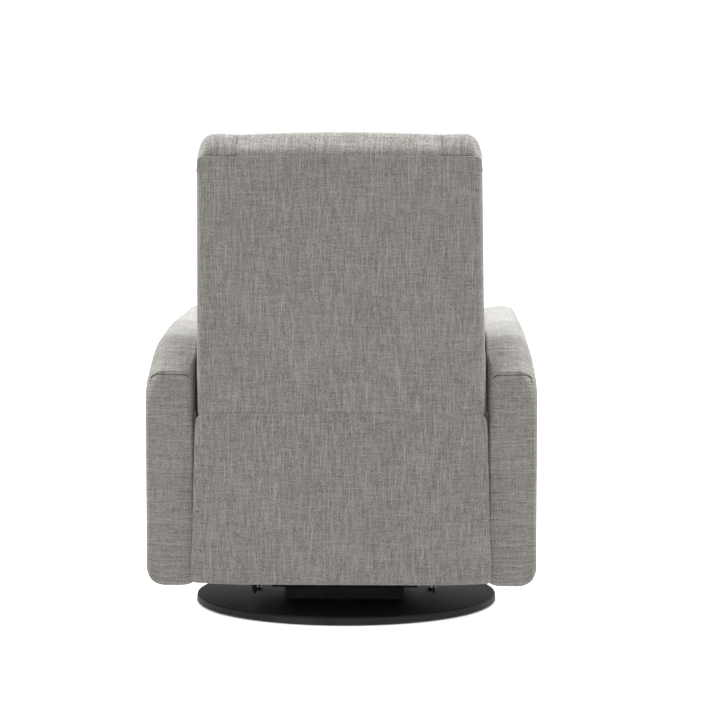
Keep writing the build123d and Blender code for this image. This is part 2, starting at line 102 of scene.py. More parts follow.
def sstep(a, b, x):
    t = np.clip((x - a) / (b - a), 0, 1)
    return t * t * (3 - 2 * t)


def resample(pts, step, closed=True):
    """Points at about even steps along a polyline, corners kept smooth by the caller."""
    p = np.asarray(pts, float)
    if closed:
        p = np.vstack([p, p[:1]])
    seg = np.linalg.norm(np.diff(p, axis=0), axis=1)
    s = np.concatenate([[0], np.cumsum(seg)])
    n = max(8, int(round(s[-1] / step)))
    t = np.linspace(0, s[-1], n, endpoint=not closed)
    return np.stack([np.interp(t, s, p[:, k]) for k in range(p.shape[1])], -1)


def rounded(pts, radii, step=0.003):
    """A closed outline with each corner replaced by an arc."""
    out = []
    n = len(pts)
    for i in range(n):
        p0, p, p1 = (np.array(pts[(i + d) % n], float) for d in (-1, 0, 1))
        r = radii[i]
        a, b = p0 - p, p1 - p
        la, lb = np.linalg.norm(a), np.linalg.norm(b)
        a, b = a / la, b / lb
        ang = math.acos(max(-1, min(1, float(a @ b))))
        if r <= 0 or ang > math.pi - 1e-3:
            out.append(p)
            continue
        d = min(r / math.tan(ang / 2), la * 0.49, lb * 0.49)
        r = d * math.tan(ang / 2)
        centre = p + (a + b) / np.linalg.norm(a + b) * (r / math.sin(ang / 2))
        t0, t1 = p + a * d - centre, p + b * d - centre
        a0, a1 = math.atan2(t0[1], t0[0]), math.atan2(t1[1], t1[0])
        da = (a1 - a0 + math.pi) % (2 * math.pi) - math.pi
        k = max(3, int(abs(da) * r / step))
        for m in range(k + 1):
            q = a0 + da * m / k
            out.append(centre + r * np.array([math.cos(q), math.sin(q)]))
    return np.array(out)


# ------------------------------------------------------------------ meshes


def new_object(name, verts, faces, uvs=None):
    me = bpy.data.meshes.new(name)
    me.from_pydata([tuple(v) for v in verts], [], [tuple(f) for f in faces])
    me.update()
    ob = bpy.data.objects.new(name, me)
    bpy.context.scene.collection.objects.link(ob)
    if uvs is not None:
        layer = me.uv_layers.new(name="weave")
        layer.uv.foreach_set("vector", np.asarray(uvs, np.float32).ravel())
    for p in me.polygons:
        p.use_smooth = True
    return ob


def coords(ob):
    co = np.zeros(len(ob.data.vertices) * 3)
    ob.data.vertices.foreach_get("co", co)
    return co.reshape(-1, 3)


def set_coords(ob, co):
    ob.data.vertices.foreach_set("co", np.asarray(co, np.float32).ravel())
    ob.data.update()


def normals(ob):
    n = np.zeros(len(ob.data.vertices) * 3, np.float32)
    ob.data.vertex_normals.foreach_get("vector", n)
    return n.reshape(-1, 3).astype(float)


def outward(ob):
    bm = bmesh.new()
    bm.from_mesh(ob.data)
    bmesh.ops.recalc_face_normals(bm, faces=bm.faces)
    if bm.calc_volume(signed=True) < 0:
        bmesh.ops.reverse_faces(bm, faces=bm.faces)
    bm.to_mesh(ob.data)
    bm.free()
    ob.data.update()
    return ob


EDGE = (0.0, 0.0003, 0.0012, 0.0027, 0.005, 0.0082, 0.012, 0.0165, 0.0215, 0.0275)


def smooth_loop(v, rounds):
    v = np.asarray(v, float)
    for _ in range(rounds):
        v = (np.roll(v, 1) + 2 * v + np.roll(v, -1)) / 4
    return v


def to_loop(pts, loop):
    """Distance of each point from a closed polyline, and the index of its nearest segment."""
    a, b = loop, np.roll(loop, -1, 0)
    d = b - a
    dd = np.maximum((d ** 2).sum(1), 1e-14)
    best, which = np.full(len(pts), 9.0), np.zeros(len(pts), int)
    for k in range(0, len(pts), 2000):
        p = pts[k:k + 2000, None, :]
        t = np.clip(((p - a) * d).sum(2) / dd, 0, 1)
        dist = np.linalg.norm(p - (a + t[..., None] * d), axis=2)
        which[k:k + 2000] = dist.argmin(1)
        best[k:k + 2000] = dist.min(1)
    return best, which


def inside_loop(pts, loop):
    x, y = pts[:, 0:1], pts[:, 1:2]
    a, b = loop, np.roll(loop, -1, 0)
    cond = (a[:, 1] > y) != (b[:, 1] > y)
    den = np.where(np.abs(b[:, 1] - a[:, 1]) < 1e-12, 1e-12, b[:, 1] - a[:, 1])
    xi = a[:, 0] + (y - a[:, 1]) * (b[:, 0] - a[:, 0]) / den
    return (np.sum(cond & (x < xi), axis=1) % 2) == 1


def fill_loop(loop, grid, offsets):
    """Points and triangles that fill a closed loop: close rows along its edge, an even grid further in."""
    pts = []
    t = np.roll(loop, -1, 0) - np.roll(loop, 1, 0)
    t /= np.maximum(np.linalg.norm(t, axis=1), 1e-9)[:, None]
    turn = np.sum(loop[:, 0] * np.roll(loop[:, 1], -1) - np.roll(loop[:, 0], -1) * loop[:, 1])
    nin = np.stack([-t[:, 1], t[:, 0]], -1) * (1 if turn > 0 else -1)
    last = 0.0
    for d in offsets:
        row = resample(loop + nin * d, max(0.004, min(grid, d * 0.9 + 0.003)))
        dist, _ = to_loop(row, loop)
        pts.append(row[(dist > d * 0.93) & inside_loop(row, loop)])
        last = d
    lo, hi = loop.min(0), loop.max(0)
    h = grid * 0.866
    ys = np.arange(lo[1] + h / 2, hi[1], h)
    g = np.concatenate([np.stack([np.arange(lo[0] + (grid / 2 if k % 2 else 0), hi[0], grid), np.full(len(np.arange(lo[0] + (grid / 2 if k % 2 else 0), hi[0], grid)), y)], -1) for k, y in enumerate(ys)])
    g = g[inside_loop(g, loop)]
    dist, _ = to_loop(g, loop)
    pts.append(g[dist > last + grid * 0.55])
    inner = np.concatenate(pts)
    n = len(loop)
    vin = [Vector(p) for p in loop] + [Vector(p) for p in inner]
    out = delaunay_2d_cdt(vin, [], [list(range(n))], 1, 1e-7)
    vo, faces, orig = out[0], out[2], out[3]
    if any(len(x) == 0 for x in orig):
        k = [i for i, x in enumerate(orig) if len(x) == 0][0]
        raise RuntimeError("a side face crosses itself at %s" % (tuple(vo[k]),))
    ids = [min(x) for x in orig]
    return inner, [tuple(ids[i] for i in f) for f in faces]


class Slab:
    """A closed form: an outline (p, q) carried across w, its edges rounded by r0 and r1 and its two side faces filled.
    Every vertex has: S along the outline, W across, T the arc across from the middle, D its distance in from the
    outline, and O and N the outline's point and inward normal there. P is the side face a vertex belongs to, 0 on the band."""

    def __init__(self, outline, w0, w1, r0, r1, lanes=(), step_w=0.009, grid=0.011, offsets=(0.004, 0.009, 0.017), open0=False):
        self.o = o = np.asarray(outline, float)
        n = len(o)
        seg = np.linalg.norm(np.roll(o, -1, 0) - o, axis=1)
        s = np.concatenate([[0], np.cumsum(seg)[:-1]])
        self.length = seg.sum()
        t = np.roll(o, -1, 0) - np.roll(o, 1, 0)
        t /= np.linalg.norm(t, axis=1)[:, None]
        turn = 0.5 * np.sum(o[:, 0] * np.roll(o[:, 1], -1) - np.roll(o[:, 0], -1) * o[:, 1])
        n_in = np.stack([-t[:, 1], t[:, 0]], -1) * (1 if turn > 0 else -1)
        r0, r1 = (np.broadcast_to(np.asarray(r(o) if callable(r) else r, float), (n,)).copy() for r in (r0, r1))
        keep = {round(w0 + d, 6) for d in EDGE if d < (w1 - w0) * 0.49} | {round(w1 - d, 6) for d in EDGE if d < (w1 - w0) * 0.49}
        wide = (w1 - w0) / 2 - min(0.030, (w1 - w0) * 0.45)
        if wide > 0:
            m = (w0 + w1) / 2
            keep |= {round(m + x, 6) for x in np.linspace(-wide, wide, max(1, int(2 * wide / step_w)) + 1)}
        for x in lanes:
            keep = {y for y in keep if abs(y - x) > 0.0009 or y in (round(w0, 6), round(w1, 6))} | {round(x, 6)}
        cols = []
        for w in sorted(keep):
            k0, k1 = np.clip(r0 - (w - w0), 0, None), np.clip(r1 - (w1 - w), 0, None)
            ins = np.maximum(r0 - np.sqrt(np.maximum(r0 ** 2 - k0 ** 2, 0)), r1 - np.sqrt(np.maximum(r1 ** 2 - k1 ** 2, 0)))
            flag = np.where(k1 > 0.8 * np.maximum(r1, 1e-6), 1, 0) - np.where(k0 > 0.8 * np.maximum(r0, 1e-6), 1, 0)
            cols.append((o + n_in * ins[:, None], np.full(n, w), ins, flag * (ins > 1e-6)))
        self.n, self.m = n, len(cols)
        pq = [x[0] for x in cols]
        W = [x[1] for x in cols]
        D = [x[2] for x in cols]
        P = [x[3] for x in cols]
        S, O, N = [s] * self.m, [o] * self.m, [n_in] * self.m
        w2, i2 = np.array(W), np.array(D)
        arc = np.concatenate([np.zeros((1, n)), np.cumsum(np.hypot(np.diff(w2, axis=0), np.diff(i2, axis=0)), axis=0)])
        mid = (w0 + w1) / 2
        k = int(np.argmin(np.abs(w2[:, 0] - mid)))
        T = list(arc - arc[k] + (w2[k] - mid))
        self.side_faces = []
        base = self.m * n
        for j, w, sign in ((0, w0, -1), (self.m - 1, w1, 1)):
            if sign < 0 and open0:
                continue
            inner, tris = fill_loop(pq[j], grid, offsets)
            dist, near = to_loop(inner, o)
            pq.append(inner)
            W.append(np.full(len(inner), w))
            D.append(dist)
            P.append(np.full(len(inner), sign))
            S.append(s[near])
            O.append(o[near])
            N.append(n_in[near])
            T.append(np.zeros(len(inner)))
            self.side_faces.append([tuple(j * n + i if i < n else base + i - n for i in f) for f in tris])
            base += len(inner)
        self.pq, self.W, self.D, self.P, self.S, self.O, self.N, self.T = (np.concatenate(x) for x in (pq, W, D, P, S, O, N, T))
        self.X = self.W - mid
        self.inner = np.arange(len(self.W)) >= self.m * n

    def make(self, name, place, turned=None, merge=0.0):
        """place(pq, w) gives positions in the row frame. turned: vertices where the cloth is laid across."""
        n, m = self.n, self.m
        faces, uvs = [], []
        S, T, P, pq = self.S, self.T, self.P, self.pq
        for j in range(m - 1):
            for i in range(n):
                f = (j * n + i, j * n + (i + 1) % n, (j + 1) * n + (i + 1) % n, (j + 1) * n + i)
                faces.append(f)
                side = sum(abs(P[q]) for q in f) >= 3
                across = turned is not None and sum(bool(turned[q]) for q in f) >= 2
                for q in f:
                    if side:
                        uvs.append((pq[q][0], pq[q][1]))
                    else:
                        v = S[q] + (self.length if i == n - 1 and q % n == 0 else 0.0)
                        uvs.append((v, T[q]) if across else (T[q], v))
        for tris in self.side_faces:
            for f in tris:
                faces.append(f)
                uvs += [(pq[q][0], pq[q][1]) for q in f]
        ob = new_object(name, place(self.pq, self.W), faces, uvs)
        bm = bmesh.new()
        bm.from_mesh(ob.data)
        if merge:
            bmesh.ops.remove_doubles(bm, verts=bm.verts, dist=merge)
        bmesh.ops.recalc_face_normals(bm, faces=bm.faces)
        bm.to_mesh(ob.data)
        bm.free()
        for p in ob.data.polygons:
            p.use_smooth = True
        return outward_keep(ob)


def join_mesh(ob, verts, faces, yz_uv=False):
    bm = bmesh.new()
    bm.from_mesh(ob.data)
    vs = [bm.verts.new(v) for v in verts]
    uv = bm.loops.layers.uv.get("weave")
    for f in faces:
        face = bm.faces.new([vs[i] for i in f])
        if yz_uv and uv is not None:
            for lp in face.loops:
                lp[uv].uv = (lp.vert.co.y, lp.vert.co.z)
    bm.to_mesh(ob.data)
    bm.free()
    for p in ob.data.polygons:
        p.use_smooth = True


def outward_keep(ob):
    bm = bmesh.new()
    bm.from_mesh(ob.data)
    if bm.calc_volume(signed=True) < 0:
        bmesh.ops.reverse_faces(bm, faces=bm.faces)
    bm.to_mesh(ob.data)
    bm.free()
    ob.data.update()
    return ob


def box_uv(ob, local=None):
    """Weave coordinates in metres from the direction each face points in."""
    me = ob.data
    co = coords(ob) if local is None else local
    layer = me.uv_layers.get("weave") or me.uv_layers.new(name="weave")
    n = np.zeros(len(me.polygons) * 3, np.float32)
    me.polygons.foreach_get("normal", n)
    n = n.reshape(-1, 3)
    li = np.zeros(len(me.loops), np.int32)
    me.loops.foreach_get("vertex_index", li)
    tot = np.zeros(len(me.polygons), np.int32)
    me.polygons.foreach_get("loop_total", tot)
    fi = np.repeat(np.arange(len(me.polygons)), tot)
    a = np.abs(n[fi]) * np.array([1.0, 1.0, 1.05])
    k = a.argmax(1)
    c = co[li]
    uv = np.where((k == 0)[:, None], c[:, [1, 2]], np.where((k == 1)[:, None], c[:, [0, 2]], c[:, [0, 1]]))
    layer.uv.foreach_set("vector", uv.astype(np.float32).ravel())


def remesh(ob, voxel):
    m = ob.modifiers.new("r", "REMESH")
    m.mode = "VOXEL"
    m.voxel_size = voxel
    m.use_smooth_shade = True
    apply_all(ob)


def apply_all(ob):
    dg = bpy.context.evaluated_depsgraph_get()
    me = bpy.data.meshes.new_from_object(ob.evaluated_get(dg))
    old = ob.data
    ob.modifiers.clear()
    ob.data = me
    bpy.data.meshes.remove(old)
    for p in me.polygons:
        p.use_smooth = True


def subdivide(ob, levels=1):
    m = ob.modifiers.new("s", "SUBSURF")
    m.levels = m.render_levels = levels
    m.boundary_smooth = "PRESERVE_CORNERS"
    apply_all(ob)


def smooth(co, ob, rounds, keep=None, factor=0.5):
    """Laplacian smoothing of co over the object's edges."""
    e = np.zeros(len(ob.data.edges) * 2, np.int32)
    ob.data.edges.foreach_get("vertices", e)
    e = e.reshape(-1, 2)
    deg = np.bincount(e.ravel(), minlength=len(co)).astype(float)
    for _ in range(rounds):
        acc = np.zeros_like(co)
        for k in range(3):
            acc[:, k] = np.bincount(e[:, 0], co[e[:, 1], k], len(co)) + np.bincount(e[:, 1], co[e[:, 0], k], len(co))
        new = acc / np.maximum(deg, 1)[:, None]
        f = factor if keep is None else (factor * (1 - keep))[:, None]
        co = co + (new - co) * f
    return co


def puff(ob, voxel, pressure, cap, hold=None, frames=20, shrink=0.0, bend=2.0, levels=1):
    """Swells a closed form as stuffed cloth: remesh, pressure cloth with no gravity, capped movement, applied."""
    remesh(ob, voxel)
    rest = coords(ob)
    if hold is not None:
        g = ob.vertex_groups.new(name="hold")
        wt = hold(rest)
        for i in np.nonzero(wt > 0.01)[0]:
            g.add([int(i)], float(wt[i]), "REPLACE")
    m = ob.modifiers.new("c", "CLOTH")
    st = m.settings
    st.quality = 5
    st.mass = 0.35
    st.tension_stiffness = st.compression_stiffness = 12
    st.shear_stiffness = 6
    st.bending_stiffness = bend
    st.tension_damping = st.compression_damping = 8
    st.use_pressure = True
    st.uniform_pressure_force = pressure
    st.effector_weights.gravity = 0.0
    m.collision_settings.use_collision = False
    if hold is not None:
        st.vertex_group_mass = "hold"
        st.pin_stiffness = 1.0
    sc = bpy.context.scene
    m.point_cache.frame_start, m.point_cache.frame_end = 1, frames
    for f in range(1, frames + 1):
        sc.frame_set(f)
    dg = bpy.context.evaluated_depsgraph_get()
    ev = ob.evaluated_get(dg)
    co = np.zeros(len(ev.data.vertices) * 3)
    ev.data.vertices.foreach_get("co", co)
    co = co.reshape(-1, 3)
    sc.frame_set(1)
    ob.modifiers.clear()
    d = co - rest
    ln = np.linalg.norm(d, axis=1)
    d *= (np.minimum(ln, cap) / np.maximum(ln, 1e-9))[:, None]
    out = smooth(rest + d, ob, 2)
    set_coords(ob, out)
    ob.vertex_groups.clear()
    if levels:
        subdivide(ob, levels)
    return rest


def displace(ob, amount):
    set_coords(ob, coords(ob) + normals(ob) * np.asarray(amount)[:, None])


# ------------------------------------------------------------------ materials
def nodes_of(name):
    mat = bpy.data.materials.new(name)
    mat.use_nodes = True
    nt = mat.node_tree
    bsdf = nt.nodes["Principled BSDF"]
    return mat, nt, bsdf


def add(nt, kind, **kw):
    n = nt.nodes.new(kind)
    for k, v in kw.items():
        setattr(n, k, v)
    return n


def link(nt, a, b):
    nt.links.new(a, b)


def math_node(nt, op, a, b=None, clamp=False):
    n = add(nt, "ShaderNodeMath", operation=op, use_clamp=clamp)
    for i, x in enumerate((a, b)):
        if x is None:
            continue
        if isinstance(x, (int, float)):
            n.inputs[i].default_value = x
        else:
            link(nt, x, n.inputs[i])
    return n.outputs[0]


def ramp(nt, value, lo, hi, a=0.0, b=1.0):
    n = add(nt, "ShaderNodeMapRange")
    n.interpolation_type = "SMOOTHSTEP"
    link(nt, value, n.inputs["Value"])
    n.inputs["From Min"].default_value = lo
    n.inputs["From Max"].default_value = hi
    n.inputs["To Min"].default_value = a
    n.inputs["To Max"].default_value = b
    return n.outputs["Result"]


def scaled(nt, vec, s, offset=(0, 0, 0)):
    n = add(nt, "ShaderNodeMapping")
    link(nt, vec, n.inputs["Vector"])
    n.inputs["Scale"].default_value = s
    n.inputs["Location"].default_value = offset
    return n.outputs["Vector"]


def tex_noise(nt, vec, detail=2.0, rough=0.5, scale=1.0, dist=0.0):
    n = add(nt, "ShaderNodeTexNoise")
    link(nt, vec, n.inputs["Vector"])
    n.inputs["Scale"].default_value = scale
    n.inputs["Detail"].default_value = detail
    n.inputs["Roughness"].default_value = rough
    n.inputs["Distortion"].default_value = dist
    return n.outputs["Fac"]


def mix_rgb(nt, fac, a, b, blend="MIX"):
    n = add(nt, "ShaderNodeMix", data_type="RGBA", blend_type=blend)
    for key, x in ((0, fac), (6, a), (7, b)):
        if isinstance(x, (int, float)):
            n.inputs[key].default_value = x
        elif isinstance(x, tuple):
            n.inputs[key].default_value = (*x, 1.0)
        else:
            link(nt, x, n.inputs[key])
    return n.outputs[2]


def centred(nt, value, k):
    return math_node(nt, "MULTIPLY", math_node(nt, "SUBTRACT", value, 0.5), k)


def linen(name, base, spread, gain, seed=0.0):
    """Linen-look weave: threads of uneven tone along the warp and the weft. Reads the weave map, in metres."""
    mat, nt, bsdf = nodes_of(name)
    uv = add(nt, "ShaderNodeUVMap", uv_map="weave").outputs["UV"]
    sep = add(nt, "ShaderNodeSeparateXYZ")
    link(nt, uv, sep.inputs[0])

    def thread(across, along, count, freq, shift, detail=2.0, rough=0.55):
        """One value per thread that changes slowly along it."""
        index = math_node(nt, "FLOOR", math_node(nt, "ADD", math_node(nt, "MULTIPLY", across, count), shift))
        wn = add(nt, "ShaderNodeTexWhiteNoise", noise_dimensions="1D")
        link(nt, index, wn.inputs["W"])
        r = wn.outputs["Value"]
        comb = add(nt, "ShaderNodeCombineXYZ")
        link(nt, math_node(nt, "MULTIPLY", r, 977.0), comb.inputs[0])
        link(nt, math_node(nt, "ADD", math_node(nt, "MULTIPLY", along, freq), math_node(nt, "MULTIPLY", r, 331.0)), comb.inputs[1])
        return index, tex_noise(nt, comb.outputs[0], detail, rough)

    iu, warp = thread(sep.outputs[0], sep.outputs[1], 900, 22, 1000 + seed * 10)
    iv, weft = thread(sep.outputs[1], sep.outputs[0], 850, 18, 3000 + seed * 10)
    _, slub_u = thread(sep.outputs[0], sep.outputs[1], 560, 12, 5000 + seed * 10, 1.0, 0.5)
    _, slub_v = thread(sep.outputs[1], sep.outputs[0], 560, 12, 7000 + seed * 10, 1.0, 0.5)
    cell = add(nt, "ShaderNodeTexWhiteNoise", noise_dimensions="2D")
    cc = add(nt, "ShaderNodeCombineXYZ")
    link(nt, iu, cc.inputs[0])
    link(nt, iv, cc.inputs[1])
    link(nt, cc.outputs[0], cell.inputs["Vector"])
    wide = tex_noise(nt, scaled(nt, uv, (7, 4, 1), (seed, seed * 1.7, 0)), 2.0, 0.5)
    g = math_node(nt, "ADD", centred(nt, warp, 1.50 * gain), centred(nt, weft, 0.82 * gain))
    g = math_node(nt, "ADD", g, centred(nt, cell.outputs["Value"], 0.75 * gain))
    g = math_node(nt, "ADD", g, centred(nt, wide, 0.10))
    # slubs: lengths of thicker, lighter thread
    s1 = ramp(nt, slub_u, 0.58, 0.66, -0.02 * gain, 0.29 * gain)
    s2 = ramp(nt, slub_v, 0.60, 0.68, -0.010 * gain, 0.19 * gain)
    g = math_node(nt, "ADD", g, math_node(nt, "ADD", s1, s2))
    fac = math_node(nt, "ADD", g, 0.5, clamp=True)
    dark = (base[0] * (1 - spread * 0.96), base[1] * (1 - spread), base[2] * (1 - spread * 1.08))
    light = (base[0] * (1 + spread * 0.96), base[1] * (1 + spread), base[2] * (1 + spread * 1.08))
    col = mix_rgb(nt, fac, dark, light)
    link(nt, col, bsdf.inputs["Base Color"])
    # threads: crossed ridges for close views
    ridge_u = math_node(nt, "ABSOLUTE", math_node(nt, "SINE", math_node(nt, "MULTIPLY", sep.outputs[0], math.pi * 900)))
    ridge_v = math_node(nt, "ABSOLUTE", math_node(nt, "SINE", math_node(nt, "MULTIPLY", sep.outputs[1], math.pi * 850)))
    h = math_node(nt, "ADD", math_node(nt, "MULTIPLY", ridge_u, 0.12), math_node(nt, "MULTIPLY", ridge_v, 0.12))
    h = math_node(nt, "ADD", h, fac)
    bump = add(nt, "ShaderNodeBump")
    bump.inputs["Strength"].default_value = 0.25
    bump.inputs["Distance"].default_value = 0.0006
    link(nt, h, bump.inputs["Height"])
    link(nt, bump.outputs["Normal"], bsdf.inputs["Normal"])
    link(nt, ramp(nt, fac, 0.2, 0.8, 0.72, 0.62), bsdf.inputs["Roughness"])
    bsdf.inputs["Specular IOR Level"].default_value = 0.55
    bsdf.inputs["Sheen Weight"].default_value = 0.12
    bsdf.inputs["Sheen Roughness"].default_value = 0.50
    return mat


def metal(name, base, rough, metallic=1.0, wear=None, coat=0.0, streak=(60, 60, 60), bump_d=0.0002, spec=0.5, vary=0.18):
    mat, nt, bsdf = nodes_of(name)
    obj = add(nt, "ShaderNodeTexCoord").outputs["Object"]
    n1 = tex_noise(nt, scaled(nt, obj, streak), 4.0, 0.6)
    n2 = tex_noise(nt, scaled(nt, obj, (900, 900, 900)), 2.0, 0.5)
    col = mix_rgb(nt, ramp(nt, n1, 0.3, 0.7), tuple(c * (1 - vary) for c in base), tuple(min(1, c * (1 + vary)) for c in base))
    if wear:
        geo = add(nt, "ShaderNodeNewGeometry")
        edge = ramp(nt, geo.outputs["Pointiness"], 0.53, 0.60)
        m = math_node(nt, "MULTIPLY", edge, ramp(nt, n1, 0.4, 0.65))
        col = mix_rgb(nt, m, col, wear)
    link(nt, col, bsdf.inputs["Base Color"])
    r = math_node(nt, "ADD", ramp(nt, n1, 0.25, 0.75, rough * (1 - vary), rough * (1 + vary * 0.8)), math_node(nt, "MULTIPLY", n2, 0.05))
    link(nt, r, bsdf.inputs["Roughness"])
    bump = add(nt, "ShaderNodeBump")
    bump.inputs["Strength"].default_value = 0.25
    bump.inputs["Distance"].default_value = bump_d
    link(nt, n2, bump.inputs["Height"])
    link(nt, bump.outputs["Normal"], bsdf.inputs["Normal"])
    bsdf.inputs["Metallic"].default_value = metallic
    bsdf.inputs["Coat Weight"].default_value = coat
    bsdf.inputs["Specular IOR Level"].default_value = spec
    return mat


def wood(name, light, dark, axis="Y", ply=True):
    mat, nt, bsdf = nodes_of(name)
    obj = add(nt, "ShaderNodeTexCoord").outputs["Object"]
    s = {"X": (4, 60, 60), "Y": (60, 4, 60), "Z": (60, 60, 4)}[axis]
    g = tex_noise(nt, scaled(nt, obj, s), 5.0, 0.6, dist=0.6)
    fine = tex_noise(nt, scaled(nt, obj, tuple(k * 9 for k in s)), 2.0, 0.5)
    col = mix_rgb(nt, ramp(nt, g, 0.3, 0.7), light, dark)
    col = mix_rgb(nt, ramp(nt, fine, 0.5, 0.75, 0.0, 0.35), col, tuple(c * 0.6 for c in dark))
    link(nt, col, bsdf.inputs["Base Color"])
    bump = add(nt, "ShaderNodeBump")
    bump.inputs["Strength"].default_value = 0.4
    bump.inputs["Distance"].default_value = 0.0005
    link(nt, fine, bump.inputs["Height"])
    link(nt, bump.outputs["Normal"], bsdf.inputs["Normal"])
    link(nt, ramp(nt, g, 0.3, 0.7, 0.55, 0.75), bsdf.inputs["Roughness"])
    return mat


def plastic(name, base, rough):
    mat, nt, bsdf = nodes_of(name)
    obj = add(nt, "ShaderNodeTexCoord").outputs["Object"]
    n = tex_noise(nt, scaled(nt, obj, (700, 700, 700)), 2.0, 0.5)
    big = tex_noise(nt, scaled(nt, obj, (30, 30, 30)), 3.0, 0.5)
    link(nt, mix_rgb(nt, ramp(nt, big, 0.3, 0.7), tuple(c * 0.88 for c in base), base), bsdf.inputs["Base Color"])
    link(nt, ramp(nt, n, 0.3, 0.7, rough * 0.85, min(1.0, rough * 1.15)), bsdf.inputs["Roughness"])
    bump = add(nt, "ShaderNodeBump")
    bump.inputs["Strength"].default_value = 0.2
    bump.inputs["Distance"].default_value = 0.0002
    link(nt, n, bump.inputs["Height"])
    link(nt, bump.outputs["Normal"], bsdf.inputs["Normal"])
    return mat


CLOTH = (0.1366, 0.1276, 0.1133)
LINEN = linen("linen", CLOTH, 0.62, 0.98, 0.0)
# the arms and the lower rear panel use the back's linen with their own weave; their tones, 1.5% and 5% darker, are
# painted shade set to how the light falls on them
LINEN_ARM_SHADED = linen("linen_arm_shaded", tuple(c * 0.985 for c in CLOTH), 0.62, 0.92, 3.3)
LINEN_PANEL_SHADED = linen("linen_panel_shaded", tuple(c * 0.950 for c in CLOTH), 0.62, 1.04, 1.9)
THREAD = plastic("thread", (0.16, 0.155, 0.145), 0.8)
BLACK = metal("black_powder_coat", (0.0215, 0.0215, 0.0219), 0.60, 0.0, wear=(0.035, 0.035, 0.035), streak=(14, 14, 14), bump_d=0.00008, spec=0.08, vary=0.05)
DARK = metal("mechanism_paint", (0.0045, 0.0045, 0.0048), 0.28, 0.0, wear=(0.05, 0.05, 0.05), streak=(20, 20, 20), bump_d=0.00008, spec=0.22, vary=0.06)
ZINC = metal("zinc_plate", (0.36, 0.36, 0.35), 0.38, 1.0, streak=(300, 300, 300))
BEARING = metal("bearing_steel", (0.62, 0.62, 0.63), 0.18, 1.0, streak=(200, 200, 20))
SPRING = metal("spring_wire", (0.22, 0.22, 0.235), 0.35, 1.0, streak=(400, 400, 400))
BRONZE = metal("bronze", (0.60, 0.42, 0.20), 0.35, 1.0, streak=(200, 200, 40))
PLY = wood("plywood", (0.62, 0.45, 0.27), (0.44, 0.29, 0.16), "Y")
PLYX = wood("plywood_cross", (0.60, 0.44, 0.27), (0.42, 0.28, 0.16), "X")
CORE = wood("core_board", (0.030, 0.027, 0.024), (0.020, 0.018, 0.016), "X")
NYLON = plastic("nylon", (0.72, 0.71, 0.67), 0.4)
RUBBER = plastic("rubber", (0.018, 0.018, 0.018), 0.8)
WEBBING = linen("webbing", (0.05, 0.049, 0.046), 0.4, 0.6, 7.0)

SLOT_MAT = {"black_steel": BLACK, "mechanism_steel": DARK, "zinc": ZINC, "bearing_steel": BEARING, "spring_steel": SPRING, "bronze": BRONZE,
            "plywood": PLY, "core_board": CORE, "nylon": NYLON, "pad_rubber": RUBBER, "webbing": WEBBING, "upholstery": LINEN}
slot_of = {s["node"]: s["material_slot"] for s in frame["record"]["subparts"]}
for name, ob in NODES.items():
    mat = SLOT_MAT[slot_of[name]]
    if name in ("seat_cross_rails", "back_rails", "legrest_board", "rear_panel_board"):
        mat = PLYX
    ob.data.materials.clear()
    ob.data.materials.append(mat)


def finish_piece(ob, body, mat, *nodes, slot="upholstery", fill=None):
    ob.data.materials.clear()
    ob.data.materials.append(mat)
    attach(ob, body)
    if nodes:
        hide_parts(*nodes)
    return ob


# ------------------------------------------------------------------ arms
def groove(dist, depth, width, pull=0.0, reach=0.01):
    """How far a surface sinks at a distance from a seam."""
    return -(depth * np.exp(-((dist / width) ** 2)) + pull * np.exp(-np.abs(dist) / reach))


ARM_IN, ARM_OUT = 0.2915, 0.3908
ARM_SEAM_Z = 0.515


